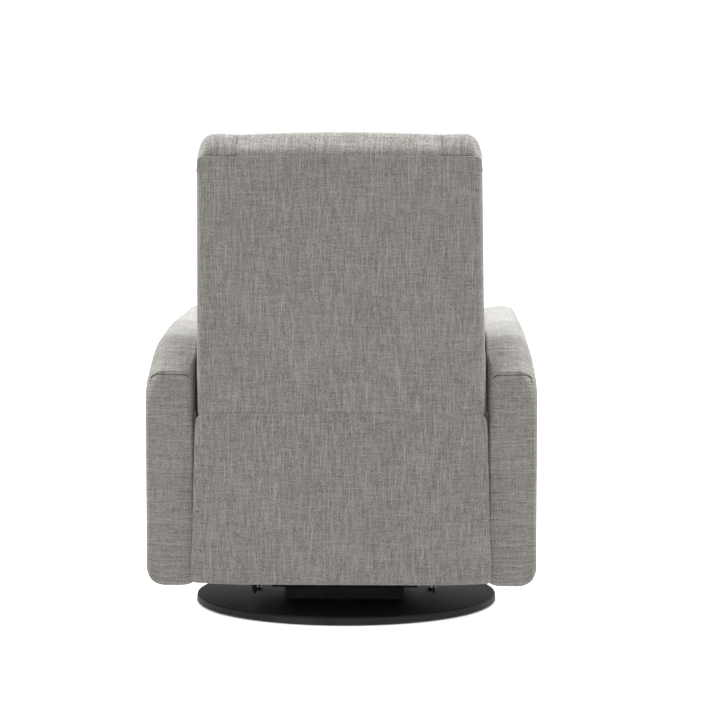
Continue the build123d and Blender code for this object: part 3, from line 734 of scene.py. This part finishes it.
def make_arm(side):
    out = rounded([(-0.4045, 0.0905), (-0.4045, 0.5975), (0.0700, 0.5975), (0.3120, 0.5825), (0.3700, 0.5150), (0.3700, 0.0905)],
                  [0.014, 0.044, 1.200, 0.090, 0.020, 0.014], 0.001)
    out = resample(out, 0.001)
    k = int(np.argmin(np.abs(out[:, 0]) + 1000 * (out[:, 1] > 0.1)))
    out = np.roll(out, -k, 0)
    if np.sum(out[:, 0] * np.roll(out[:, 1], -1) - np.roll(out[:, 0], -1) * out[:, 1]) < 0:
        out = out[::-1]
    pick, i = [], 0
    while i < len(out) - 1:
        pick.append(i)
        p = out[i]
        rear = p[0] > 0.30
        i += 1 if rear and ARM_SEAM_Z - 0.014 < p[1] < ARM_SEAM_Z + 0.010 else 2 if rear and ARM_SEAM_Z - 0.03 < p[1] < ARM_SEAM_Z + 0.055 else 6
    out = out[pick]
    mid = (ARM_IN + ARM_OUT) / 2
    T0 = 0.0388
    lanes = [mid + sgn * (T0 + d) for sgn in (-1, 1) for d in (-0.008, -0.0055, -0.0035, -0.0022, -0.0012, 0, 0.0012)]

    def r_out(o):
        top = sstep(0.440, 0.560, o[:, 1])
        front = sstep(-0.36, -0.39, o[:, 0])
        return 0.0125 + 0.0335 * top * (1 - 0.10 * front) * (1 - 0.10 * sstep(0.20, 0.33, o[:, 0]))

    def r_in(o):
        return 0.0090 + 0.0070 * sstep(0.36, 0.47, o[:, 1]) - 0.0125 * sstep(0.510, 0.560, o[:, 1]) * sstep(-0.05, 0.15, o[:, 0])

    sl = Slab(out, ARM_IN, ARM_OUT, r_in, r_out, lanes=lanes, step_w=0.0026)
    pq, W, X = sl.pq.copy(), sl.W.copy(), sl.X
    oy, oz = sl.O[:, 0], sl.O[:, 1]
    half = (ARM_OUT - ARM_IN) / 2
    tn = np.clip(np.abs(X) / half, 0, 1)
    band = ~sl.inner
    up = np.clip(-sl.N[:, 1], 0, 1)
    low = sstep(0.095, 0.15, oz)
    crown = (0.0030 * up + 0.0022) * (1 - tn ** 2)
    soft = noise3(np.stack([sl.S * 11, X * 22, X * 0], -1), 5) * 0.0012 + noise3(np.stack([sl.S * 34, X * 48, X * 0], -1), 11) * 0.00045
    # side seams
    d_side = np.abs(np.abs(X) - T0)
    along = np.stack([sl.S * 75, np.sign(X) * 3.0, X * 0], -1)
    puck = 1 + 0.55 * noise3(along, 3)
    g = groove(d_side, 0.0010, 0.0012, 0.0007, 0.005) * puck * low * (1 - 0.9 * sstep(0.500, 0.525, oz))
    # rear cross seam, its ends turned down into the side seams
    rear = oy > 0.28
    drop = np.clip(np.abs(X) / T0, 0, 1)
    d_x = oz - (ARM_SEAM_Z - 0.0065 * drop ** 10)
    inside = np.abs(X) < T0 + 0.0006
    p2 = 1 + 0.60 * noise3(np.stack([X * 120, X * 0, X * 0], -1), 8)
    g2 = groove(d_x, 0.0040, 0.0014, 0.0012, 0.006) * p2
    above = (d_x > 0) * np.exp(-np.clip(d_x, 0, 1) / 0.022)
    ridge = 1 - 2 * np.abs(noise3(np.stack([X * 125, sl.S * 95, X * 0], -1), 21))
    ridge = ridge + 0.5 * (1 - 2 * np.abs(noise3(np.stack([X * 210, sl.S * 170, X * 0], -1), 22)))
    lift = above * (0.0021 + 0.00105 * ridge) * (1 - drop ** 6)
    inset = np.where(d_x < 0, -0.0010, 0.0) * low * (1 - drop ** 12)
    cross = np.where(rear & inside, g2 + lift + inset, 0)
    off = np.where(band, crown + soft * low + g + cross, 0)
    pq = pq - sl.N * off[:, None]
    # the two sides: a shallow pillow
    deep = sstep(0.0, 0.11, sl.D)
    lee = np.sign(X)
    wob = noise3(np.stack([pq[:, 0] * 6, pq[:, 1] * 6, lee * 3.0], -1), 31)
    fine = noise3(np.stack([pq[:, 0] * 21, pq[:, 1] * 21, lee * 5.0], -1), 33)
    bulge = (0.0016 + 0.0009 * wob + 0.00035 * fine) * deep
    W = W + np.where(lee > 0, bulge, 0.0004 * wob * deep)
    # the outer face leans in towards the top
    lean = 0.0140 * sstep(0.470, 0.590, pq[:, 1])
    W = W - lean * np.clip((sl.W - mid) / half, 0, 1) ** 1.5
    # the padding swells a little towards the back at the rear top
    W = W - 0.0028 * sstep(0.530, 0.556, pq[:, 1]) * sstep(0.10, 0.24, pq[:, 0]) * np.clip(-(sl.W - mid) / half, 0, 1) ** 1.5
    # rounded underside corners
    t1 = np.clip((sl.W - (ARM_OUT - 0.036)) / 0.036, 0, 1)
    t0 = np.clip(((ARM_IN + 0.026) - sl.W) / 0.026, 0, 1)
    zb = 0.0905 + 0.030 * (1 - np.sqrt(1 - t1 ** 2)) + 0.012 * (1 - np.sqrt(1 - t0 ** 2))
    z1 = 0.165
    pq[:, 1] = np.where(pq[:, 1] < z1, z1 - (z1 - pq[:, 1]) * (z1 - zb) / (z1 - 0.0905), pq[:, 1])

    def place(_, __):
        return np.stack([side * W, pq[:, 0], pq[:, 1]], -1)

    ob = sl.make("arm_left" if side > 0 else "arm_right", place, turned=oy < 9)
    return finish_piece(ob, "carriage", LINEN_ARM_SHADED, "arm_cover_left" if side > 0 else "arm_cover_right", fill=0.9)


for side in (1, -1):
    make_arm(side)


# ------------------------------------------------------------------ lower rear panel
def make_rear_panel():
    """Board upholstered on its rear face; wider at the foot, where it laps the arms' rear edges. Its thin top lip leans with the back."""
    top, bot = 0.4388, 0.0935
    o = rounded([(-0.3003, bot + 0.0035), (-0.20, bot), (0.20, bot), (0.3003, bot + 0.0035), (0.2915, 0.400), (0.2885, top), (-0.2885, top), (-0.2915, 0.400)],
                [0.010, 0.5, 0.5, 0.010, 0.20, 0.024, 0.024, 0.20])
    o = resample(o, 0.005)
    sl = Slab(o, 0.3716, 0.3796, 0.0010, lambda o: smooth_loop(np.where(o[:, 1] > 0.42, 0.0010, 0.0050), 4), step_w=0.003, offsets=(0.002, 0.004, 0.007, 0.012, 0.020))
    x, z = sl.pq[:, 0], sl.pq[:, 1]
    deep = sstep(0.0, 0.06, sl.D)
    wob = noise3(np.stack([x * 6, z * 6, x * 0], -1), 41) * 0.0010 + noise3(np.stack([x * 20, z * 11, x * 0], -1), 43) * 0.00035
    y_rear = 0.3796 + (0.0012 + wob) * deep * (1 - sstep(0.36, 0.425, z)) - 0.0016 * sstep(0.40, 0.4388, z)
    y_front = 0.3716 - 0.0050 * sstep(0.2894, 0.2874, np.abs(x)) * sstep(0.0945, 0.100, z)
    y_front = np.where(z > 0.386, np.maximum(y_front, 0.3666 + (z - 0.386) * 0.2110), y_front)
    y_front = np.maximum(y_front, 0.3716 * (np.abs(x) > 0.2894))
    f = (sl.W - 0.3716) / 0.0080
    Y = y_front + (y_rear - y_front) * f

    def place(_, __):
        return np.stack([x, Y, z], -1)

    ob = sl.make("rear_panel", place)
    # the cover is drawn forward round the board's two ends
    for sgn in (-1, 1):
        rows = []
        for zz, y0 in ((0.0990, 0.350), (0.1010, 0.3445), (0.3850, 0.3445), (0.4080, 0.3500), (0.4135, 0.3600)):
            rows.append([(sgn * 0.2902, y0, zz), (sgn * 0.2908, y0 - 0.0004, zz), (sgn * 0.2912, y0 + 0.0006, zz), (sgn * 0.2912, 0.3740, zz), (sgn * 0.2902, 0.3740, zz)])
        k = len(rows[0])
        verts = [v for r in rows for v in r]
        faces = [(j * k + i, j * k + (i + 1) % k, (j + 1) * k + (i + 1) % k, (j + 1) * k + i) for j in range(len(rows) - 1) for i in range(k)]
        faces += [tuple(range(k)), tuple(range((len(rows) - 1) * k, len(rows) * k))]
        join_mesh(ob, verts, faces, yz_uv=True)
    bm = bmesh.new()
    bm.from_mesh(ob.data)
    bmesh.ops.recalc_face_normals(bm, faces=bm.faces)
    bm.to_mesh(ob.data)
    bm.free()
    return finish_piece(ob, "carriage", LINEN_PANEL_SHADED, "rear_panel_cover", fill=0.9)


make_rear_panel()


def make_gap_shade_cloth(side):
    """A strip of black lining on the arm's inner face, behind the rear panel's rounded top corner, where the back
    leaves a gap; its black is painted shade that fills the gap.
    """
    outline = [(0.3450, 0.4000), (0.3700, 0.4000), (0.3745, 0.4100), (0.3775, 0.4250), (0.3785, 0.4380), (0.3760, 0.4420), (0.3560, 0.4420), (0.3480, 0.4350)]
    k = len(outline)
    verts = [(side * x, y, z) for x in (0.2902, 0.2912) for y, z in outline]
    faces = [tuple(range(k)), tuple(range(2 * k - 1, k - 1, -1))] + [(i, k + i, k + (i + 1) % k, (i + 1) % k) for i in range(k)]
    ob = new_object("gap_shade_cloth_left" if side > 0 else "gap_shade_cloth_right", verts, faces)
    outward_keep(ob)
    box_uv(ob)
    # the black cloth stands in for the shade in the gap between arm and back
    return finish_piece(ob, "carriage", WEBBING, slot="webbing", fill=0.9)


for side in (1, -1):
    make_gap_shade_cloth(side)


# ------------------------------------------------------------------ backrest
SEAM_U = 0.5405


def half_width(u):
    """Half width of the backrest's outside at height u along it."""
    t = np.clip((u - 0.045) / 0.46, 0, 1)
    return 0.2866 + (0.2779 - 0.2866) * t - 0.0026 * sstep(0.505, 0.585, u)


def roll_profile(top, fall, front):
    """Rear and top edge of a wing pad: it starts above the seam, slants up to the crest and runs level to the front."""
    return [(0.0405, SEAM_U - 0.0004), (-0.0010, SEAM_U - 0.0004), (0.0060, SEAM_U + 0.0138), (0.0275, top + 0.0055), (0.145, top - fall), front]


def tucked_profile(top, fall, front):
    """The centre cushion's, with its foot tucked in behind the outer back's top edge."""
    foot = SEAM_U - 0.0090
    return [(0.0405, foot), (-0.0004, foot), (-0.0008, SEAM_U + 0.0030), (0.0038, SEAM_U + 0.0150), (0.0340, top + 0.0053), (0.145, top - fall), front]


def make_wing(side):
    prof = rounded(roll_profile(0.5700, 0.0165, (0.204, 0.500)) + [(0.228, 0.300), (0.232, 0.150), (0.224, 0.050), (0.196, 0.0095), (0.0405, 0.0095)],
                   [0.0, 0.0010, 0.022, 0.016, 0.06, 0.10, 0.5, 0.5, 0.03, 0.030, 0.008])
    prof = resample(prof, 0.0055)

    def r_out(o):
        return np.where(o[:, 0] > 0.10, 0.020, np.where(o[:, 0] > 0.045, 0.009, np.where(o[:, 1] < SEAM_U + 0.008, 0.0008, 0.010)))

    def r_in(o):
        return np.where(o[:, 0] > 0.12, 0.012, np.where(o[:, 0] > 0.06, 0.004, 0.0007))

    sm = lambda r: (lambda o: smooth_loop(r(o), 4))
    sl = Slab(prof, 0.20005, 0.2775, sm(r_in), sm(r_out), step_w=0.006)
    pq, W = sl.pq.copy(), sl.W.copy()
    u = pq[:, 1]
    tw = (W - 0.20005) / (0.2775 - 0.20005)
    band = ~sl.inner
    # crown across the front and top, and a soft unevenness
    crown = 0.0055 * (1 - (2 * tw - 1) ** 2) * sstep(0.10, 0.20, pq[:, 0]) + 0.0018 * (1 - (2 * tw - 1) ** 2) * sstep(0.545, 0.56, u)
    s_n = noise3(np.stack([sl.S * 17, sl.T * 24, sl.S * 0], -1), 53) * 0.0011
    edge = sstep(0.036, 0.044, pq[:, 0]) + sstep(SEAM_U + 0.004, SEAM_U + 0.02, u)
    pq -= sl.N * (np.where(band, crown + s_n * np.clip(edge, 0, 1), 0))[:, None]
    # the outer top corner: an elliptical shoulder
    t = np.clip((tw - 0.64) / 0.36, 0, 1)
    fall = 0.040 * (1 - np.sqrt(1 - t ** 2))
    u1 = 0.40
    u = pq[:, 1]
    pq[:, 1] = np.where(u > u1, u1 + (u - u1) * (0.570 - fall * sstep(0.40, 0.545, u) - u1) / (0.570 - u1), u)
    hw = half_width(pq[:, 1])
    W = 0.20005 + tw * (hw - 0.20005)
    deep = sstep(0.0, 0.05, sl.D)
    wob = noise3(np.stack([pq[:, 0] * 9, pq[:, 1] * 9, sl.P * 2.0], -1), 51) * 0.0010
    W = W + np.where(sl.X > 0, (0.0006 + wob) * deep, 0)

    def place(_, __):
        return back_world(side * W, pq[:, 0], pq[:, 1])

    ob = sl.make("back_wing_pad_left" if side > 0 else "back_wing_pad_right", place)
    return finish_piece(ob, "backrest", LINEN, "back_wing_left" if side > 0 else "back_wing_right", fill=0.8)


for side in (1, -1):
    make_wing(side)


def make_centre_cushion():
    prof = rounded(tucked_profile(0.5755, 0.0175, (0.178, 0.500)) + [(0.184, 0.420), (0.188, 0.300), (0.204, 0.180), (0.212, 0.060), (0.202, -0.035), (0.150, -0.044), (0.0405, -0.020)],
                   [0.0, 0.002, 0.020, 0.034, 0.018, 0.06, 0.08, 0.3, 0.3, 0.3, 0.2, 0.03, 0.05, 0.010])
    prof = resample(prof, 0.007)

    def r_side(o):
        return smooth_loop(np.where(o[:, 0] > 0.12, 0.012, np.where(o[:, 0] > 0.05, 0.006, 0.0022)), 4)

    sl = Slab(prof, -0.1993, 0.1993, r_side, r_side, step_w=0.009)
    pq, W = sl.pq.copy(), sl.W.copy()
    tn = np.abs(W) / 0.1993
    # arched top: highest in the middle
    pq[:, 1] -= 0.0055 * (tn ** 2.2) * sstep(0.545, 0.575, pq[:, 1])

    def place(_, __):
        return back_world(W, pq[:, 0], pq[:, 1])

    ob = sl.make("back_centre_cushion", place)

    def hold(co):
        x, v, u = back_local(co)
        h = 1 - sstep(0.05, 0.12, v)
        side_h = sstep(0.180, 0.196, np.abs(x)) * 0.96
        tuck = np.exp(-((u - 0.345) / 0.012) ** 2) * (v > 0.15)
        low = (1 - sstep(-0.03, 0.0, u)) * 0.6
        crest = sstep(0.535, 0.552, u) * (1 - 0.5 * sstep(0.10, 0.16, v))
        return np.clip(np.maximum.reduce([h, side_h, tuck, low, crest]), 0, 1)

    puff(ob, 0.0050, 5.0, 0.026, hold=hold, frames=18)
    co = coords(ob)
    x, v, u = back_local(co)
    ft = sstep(0.13, 0.17, v)
    d = np.abs(u - 0.345)
    pk = 1 + 0.5 * noise3(np.stack([x * 60, x * 0, x * 0], -1), 61)
    off = groove(d, 0.0035, 0.0030, 0.0030, 0.018) * pk * ft
    tuckw = noise3(np.stack([x * 36, u * 9, x * 0], -1), 63) * 0.0016 * np.exp(-d / 0.045) * ft
    off = off + tuckw + noise3(np.stack([x * 8, u * 8, v * 8], -1), 65) * 0.0016 * sstep(0.08, 0.14, v) * (1 - sstep(0.185, 0.196, np.abs(x)))
    displace(ob, off)
    co = coords(ob)
    lx, lv, lu = back_local(co)
    co[:, 0] = np.clip(co[:, 0] * (1 + 0.022 * (1 - sstep(0.05, 0.12, lv)) * (lu > 0.535)), -0.19985, 0.19985)
    t = np.clip((np.abs(co[:, 0]) - 0.190) / 0.0095, 0, 1) ** 1.7 * (1 - sstep(0.07, 0.12, lv)) * sstep(0.541, 0.550, lu)
    rv, ru = lv - 0.035, lu - 0.535
    rl = np.maximum(np.hypot(rv, ru), 1e-6)
    co = back_world(co[:, 0], lv + 0.0026 * t * rv / rl, lu + 0.0026 * t * ru / rl)
    set_coords(ob, co)
    lx, lv, lu = back_local(co)
    box_uv(ob, np.stack([lx, -lv, lu], -1))
    return finish_piece(ob, "backrest", LINEN, "back_cushion", fill=0.75)


make_centre_cushion()


def make_back_panel():
    """The outer back: a cover over the frame, wrapped round its sides, with a seam under the top roll."""
    top = SEAM_U
    hw = half_width
    o = rounded([(-hw(0.0) + 0.001, 0.0), (hw(0.0) - 0.001, 0.0), (float(hw(0.10)), 0.10), (float(hw(0.505)), 0.505), (float(hw(0.54)) - 0.0006, top),
                 (-float(hw(0.54)) + 0.0006, top), (-float(hw(0.505)), 0.505), (-float(hw(0.10)), 0.10)],
                [0.016, 0.016, 0.3, 0.3, 0.011, 0.011, 0.3, 0.3])
    o = resample(o, 0.005)
    if np.sum(o[:, 0] * np.roll(o[:, 1], -1) - np.roll(o[:, 0], -1) * o[:, 1]) < 0:
        o = o[::-1]

    def r_rear(o):
        side = 0.0030 + 0.0090 * sstep(0.538, 0.490, o[:, 1]) * sstep(-0.01, 0.03, o[:, 1])
        r = np.where(o[:, 1] > top - 0.001, 0.0007 + 0.0001 * sstep(0.13, 0.20, np.abs(o[:, 0])) * (1 - sstep(0.246, 0.258, np.abs(o[:, 0]))), side)
        return smooth_loop(r, 3)

    sl = Slab(o, -0.0400, 0.0012, 0.0, r_rear, step_w=0.008, offsets=(0.002, 0.005, 0.010, 0.018), open0=True)
    x, u = sl.pq[:, 0].copy(), sl.pq[:, 1].copy()
    deep = sstep(0.0, 0.05, sl.D)
    wob = noise3(np.stack([x * 5, u * 4, x * 0], -1), 71) * 0.0010 + noise3(np.stack([x * 15, u * 9, x * 0], -1), 73) * 0.0003
    W = sl.W + np.where(sl.X > 0, (0.0010 + wob) * deep, 0)
    depth = 0.010 + 0.030 * sstep(0.030, 0.060, sl.O[:, 1])
    depth = np.where(sl.O[:, 1] > top - 0.002, 0.030, depth)
    W = np.maximum(W, -depth)

    def place(_, __):
        return back_world(x, -W, u)

    ob = sl.make("outer_back", place, merge=2e-5)
    m = ob.modifiers.new("t", "SOLIDIFY")
    m.thickness = 0.0022
    m.offset = -1.0
    m.use_even_offset = False
    apply_all(ob)
    return finish_piece(ob, "backrest", LINEN, "back_outer_cover", fill=0.9)


make_back_panel()


# ------------------------------------------------------------------ seat cushion
def make_seat():
    prof = rounded([(0.127, 0.374), (0.127, 0.462), (-0.120, 0.466), (-0.400, 0.464), (-0.4225, 0.432), (-0.408, 0.4005), (-0.376, 0.4005), (-0.372, 0.3745)],
                   [0.02, 0.026, 0.5, 0.032, 0.028, 0.012, 0.006, 0.004])
    prof = resample(prof, 0.007)
    r_side = lambda o: smooth_loop(np.where(o[:, 1] < 0.415, 0.002, 0.014), 4)
    sl = Slab(prof, -0.2790, 0.2790, r_side, r_side, step_w=0.010)

    def place(_, __):
        return np.stack([sl.W, sl.pq[:, 0], sl.pq[:, 1]], -1)

    ob = sl.make("seat_cushion_pad", place)

    def hold(co):
        x, y, z = co.T
        low = 1 - sstep(0.400, 0.425, z)
        edge = np.exp(-(((z - 0.452) / 0.006) ** 2)) * (np.abs(x) > 0.262) * 0.85
        front = np.exp(-((z - 0.452) / 0.006) ** 2) * (y < -0.395) * 0.7
        rear = sstep(0.09, 0.125, y) * 0.8
        return np.clip(np.maximum.reduce([low, edge, front, rear]), 0, 1)

    puff(ob, 0.0060, 4.0, 0.020, hold=hold, frames=18)
    co = coords(ob)
    x, y, z = co.T
    # clear of the arms and of the parts below
    co[:, 0] = np.clip(x, -0.2865, 0.2865)
    co[:, 1] = np.clip(y, -0.4395, 0.134)
    co[:, 2] = np.where(y > -0.371, np.maximum(z, 0.3735), np.maximum(z, 0.3985))
    set_coords(ob, co)
    x, y, z = co.T
    sat = np.exp(-((x / 0.17) ** 2) - (((y + 0.13) / 0.20) ** 2))
    off = -0.006 * sat * (z > 0.44)
    seam = np.abs(z - 0.4525)
    rim = (np.abs(x) > 0.268) | (y < -0.405)
    pk = 1 + 0.5 * noise3(np.stack([x * 55, y * 55, x * 0], -1), 81)
    off = off + np.where(rim, groove(seam, 0.0026, 0.0028, 0.0016, 0.010) * pk, 0)
    off = off + noise3(np.stack([x * 9, y * 9, z * 9], -1), 83) * 0.0016 * (z > 0.42)
    displace(ob, off)
    co = coords(ob)
    co[:, 0] = np.clip(co[:, 0], -0.2868, 0.2868)
    set_coords(ob, co)
    box_uv(ob)
    return finish_piece(ob, "seat", LINEN, "seat_cushion", fill=0.7)


make_seat()


def make_deck():
    """Decking cloth over a thin felt, from the seat's rear rail back towards the pivot, under the gap between seat and back."""
    prof = rounded([(0.1195, 0.37025), (0.2315, 0.37025), (0.2330, 0.3662), (0.2352, 0.3668), (0.2335, 0.3733), (0.1195, 0.3733)], [0.001, 0.002, 0.0008, 0.0008, 0.003, 0.001])
    prof = resample(prof, 0.0025)
    sl = Slab(prof, -0.2620, 0.2620, 0.0010, 0.0010, step_w=0.010, grid=0.008, offsets=())
    pq = sl.pq.copy()
    sag = noise3(np.stack([sl.W * 9, pq[:, 0] * 14, sl.W * 0], -1), 131) * 0.0006 - 0.0012
    pq[:, 1] += sag * sstep(0.142, 0.160, pq[:, 0]) * (1 - sstep(0.215, 0.230, pq[:, 0]))

    def place(_, __):
        return np.stack([sl.W, pq[:, 0], pq[:, 1]], -1)

    ob = sl.make("seat_deck", place)
    return finish_piece(ob, "seat", LINEN, fill=0.9)


make_deck()


# ------------------------------------------------------------------ legrest pad
def make_legrest():
    prof = rounded([(-0.3925, 0.109), (-0.3925, 0.391), (-0.424, 0.391), (-0.424, 0.109)], [0.004, 0.006, 0.020, 0.020])
    prof = resample(prof, 0.006)
    r_side = lambda o: smooth_loop(np.where(o[:, 0] > -0.404, 0.002, 0.012), 2)
    sl = Slab(prof, -0.2815, 0.2815, r_side, r_side, step_w=0.010)

    def place(_, __):
        return np.stack([sl.W, sl.pq[:, 0], sl.pq[:, 1]], -1)

    ob = sl.make("legrest_pad", place)

    def hold(co):
        return np.clip(sstep(-0.412, -0.400, co[:, 1]), 0, 1)

    puff(ob, 0.0060, 4.0, 0.010, hold=hold, frames=16)
    co = coords(ob)
    x, y, z = co.T
    co[:, 0] = np.clip(x, -0.2862, 0.2862)
    co[:, 1] = np.clip(y, -0.4395, -0.3921)
    co[:, 2] = np.clip(z, 0.1045, 0.3945)
    set_coords(ob, co)
    x, y, z = co.T
    edge = np.minimum(np.minimum(0.2835 - np.abs(x), z - 0.107), 0.393 - z)
    fr = y < -0.408
    off = np.where(fr, noise3(np.stack([x * 9, z * 9, x * 0], -1), 93) * 0.0014, 0)
    pk = 1 + 0.5 * noise3(np.stack([x * 55, z * 55, x * 0], -1), 91)
    off = off + np.where(fr, groove(edge - 0.016, 0.0022, 0.0030, 0.0012, 0.010) * pk, 0)
    displace(ob, off)
    # the cover is drawn round the board's four edges
    loop_o = rounded([(-0.2815, 0.1095), (0.2815, 0.1095), (0.2815, 0.3915), (-0.2815, 0.3915)], [0.008] * 4)
    loop_i = rounded([(-0.2706, 0.1154), (0.2706, 0.1154), (0.2706, 0.3866), (-0.2706, 0.3866)], [0.003] * 4)
    lo_r, li_r = resample(loop_o, 0.012), None
    n = len(lo_r)
    cx, cz = 0.0, 0.2505
    sx, sz = 0.2706 / 0.2815, (0.3866 - 0.1154) / (0.3915 - 0.1095)
    rings = []
    for (k, yy) in ((0.0, -0.3935), (0.0, -0.3815), (0.25, -0.3792), (0.75, -0.3786), (1.0, -0.3796), (1.0, -0.3935)):
        ring = []
        for px, pz in lo_r:
            qx, qz = px * sx, cz + (pz - cz) * sz
            ring.append((px + (qx - px) * k, yy, pz + (qz - pz) * k))
        rings.append(ring)
    verts = [v for r in rings for v in r]
    faces = []
    for j in range(len(rings)):
        jj = (j + 1) % len(rings)
        for i in range(n):
            faces.append((j * n + i, j * n + (i + 1) % n, jj * n + (i + 1) % n, jj * n + i))
    join_mesh(ob, verts, faces)
    bm = bmesh.new()
    bm.from_mesh(ob.data)
    bmesh.ops.recalc_face_normals(bm, faces=bm.faces)
    bm.to_mesh(ob.data)
    bm.free()
    box_uv(ob)
    return finish_piece(ob, "legrest", LINEN, "legrest_cushion", fill=0.8)


make_legrest()


# ------------------------------------------------------------------ stage and light
def plane(name, pts, mat):
    ob = new_object(name, pts, [(0, 1, 2, 3)])
    ob.data.materials.append(mat)
    return ob


pale, ntp, bp = nodes_of("pale_floor")
bp.inputs["Base Color"].default_value = (0.90, 0.90, 0.90, 1)
bp.inputs["Roughness"].default_value = 0.9
bp.inputs["Specular IOR Level"].default_value = 0.0
bp.inputs["Emission Color"].default_value = (1, 1, 1, 1)
# floor emission: even all over, but none under the base disc and fading back in just past its rim, a painted contact
# shadow
tcp = add(ntp, "ShaderNodeTexCoord")
contact_shadow_radius = add(ntp, "ShaderNodeVectorMath", operation="LENGTH")
link(ntp, tcp.outputs["Object"], contact_shadow_radius.inputs[0])
link(ntp, ramp(ntp, contact_shadow_radius.outputs["Value"], 0.314, 0.326, 0.0, 0.80), bp.inputs["Emission Strength"])
floor = plane("floor", [(-60, -60, 0), (60, -60, 0), (60, 60, 0), (-60, 60, 0)], pale)
floor.visible_diffuse = False

# pale studio: white all round at and above the horizon, brighter from below
world = bpy.data.worlds.new("world")
bpy.context.scene.world = world
world.use_nodes = True
wt = world.node_tree
bg = wt.nodes["Background"]
bg.inputs["Color"].default_value = (1, 1, 1, 1)
geo = wt.nodes.new("ShaderNodeTexCoord")
sp = wt.nodes.new("ShaderNodeSeparateXYZ")
wt.links.new(geo.outputs["Generated"], sp.inputs[0])
mr = wt.nodes.new("ShaderNodeMapRange")
wt.links.new(sp.outputs["Z"], mr.inputs["Value"])
mr.inputs["From Min"].default_value = -0.10
mr.inputs["From Max"].default_value = -0.02
mr.inputs["To Min"].default_value = 1.25
mr.inputs["To Max"].default_value = 1.0
wt.links.new(mr.outputs["Result"], bg.inputs["Strength"])


def area(name, loc, target, size, power):
    d = bpy.data.lights.new(name, "AREA")
    d.shape = "SQUARE"
    d.size = size
    d.energy = power
    d.color = (0.965, 0.985, 1.0)
    ob = bpy.data.objects.new(name, d)
    bpy.context.scene.collection.objects.link(ob)
    ob.location = loc
    ob.rotation_mode = "QUATERNION"
    ob.rotation_quaternion = (Vector(target) - Vector(loc)).to_track_quat("-Z", "Y")
    ob.visible_camera = False
    return ob


area("key", (0.0, 0.90, 6.4), (0, 0.1, 0.5), 4.6, 420)
area("side_left", (1.9, 0.28, 2.1), (0.3, 0.25, 0.55), 1.2, 58)
area("side_right", (-1.9, 0.28, 2.1), (-0.3, 0.25, 0.55), 1.2, 58)
area("front", (0.0, -4.2, 1.9), (0, 0, 0.6), 3.0, 95)

vs = bpy.context.scene.view_settings
vs.view_transform = "Standard"
vs.look = "None"
vs.exposure = 0.0
vs.gamma = 1.0
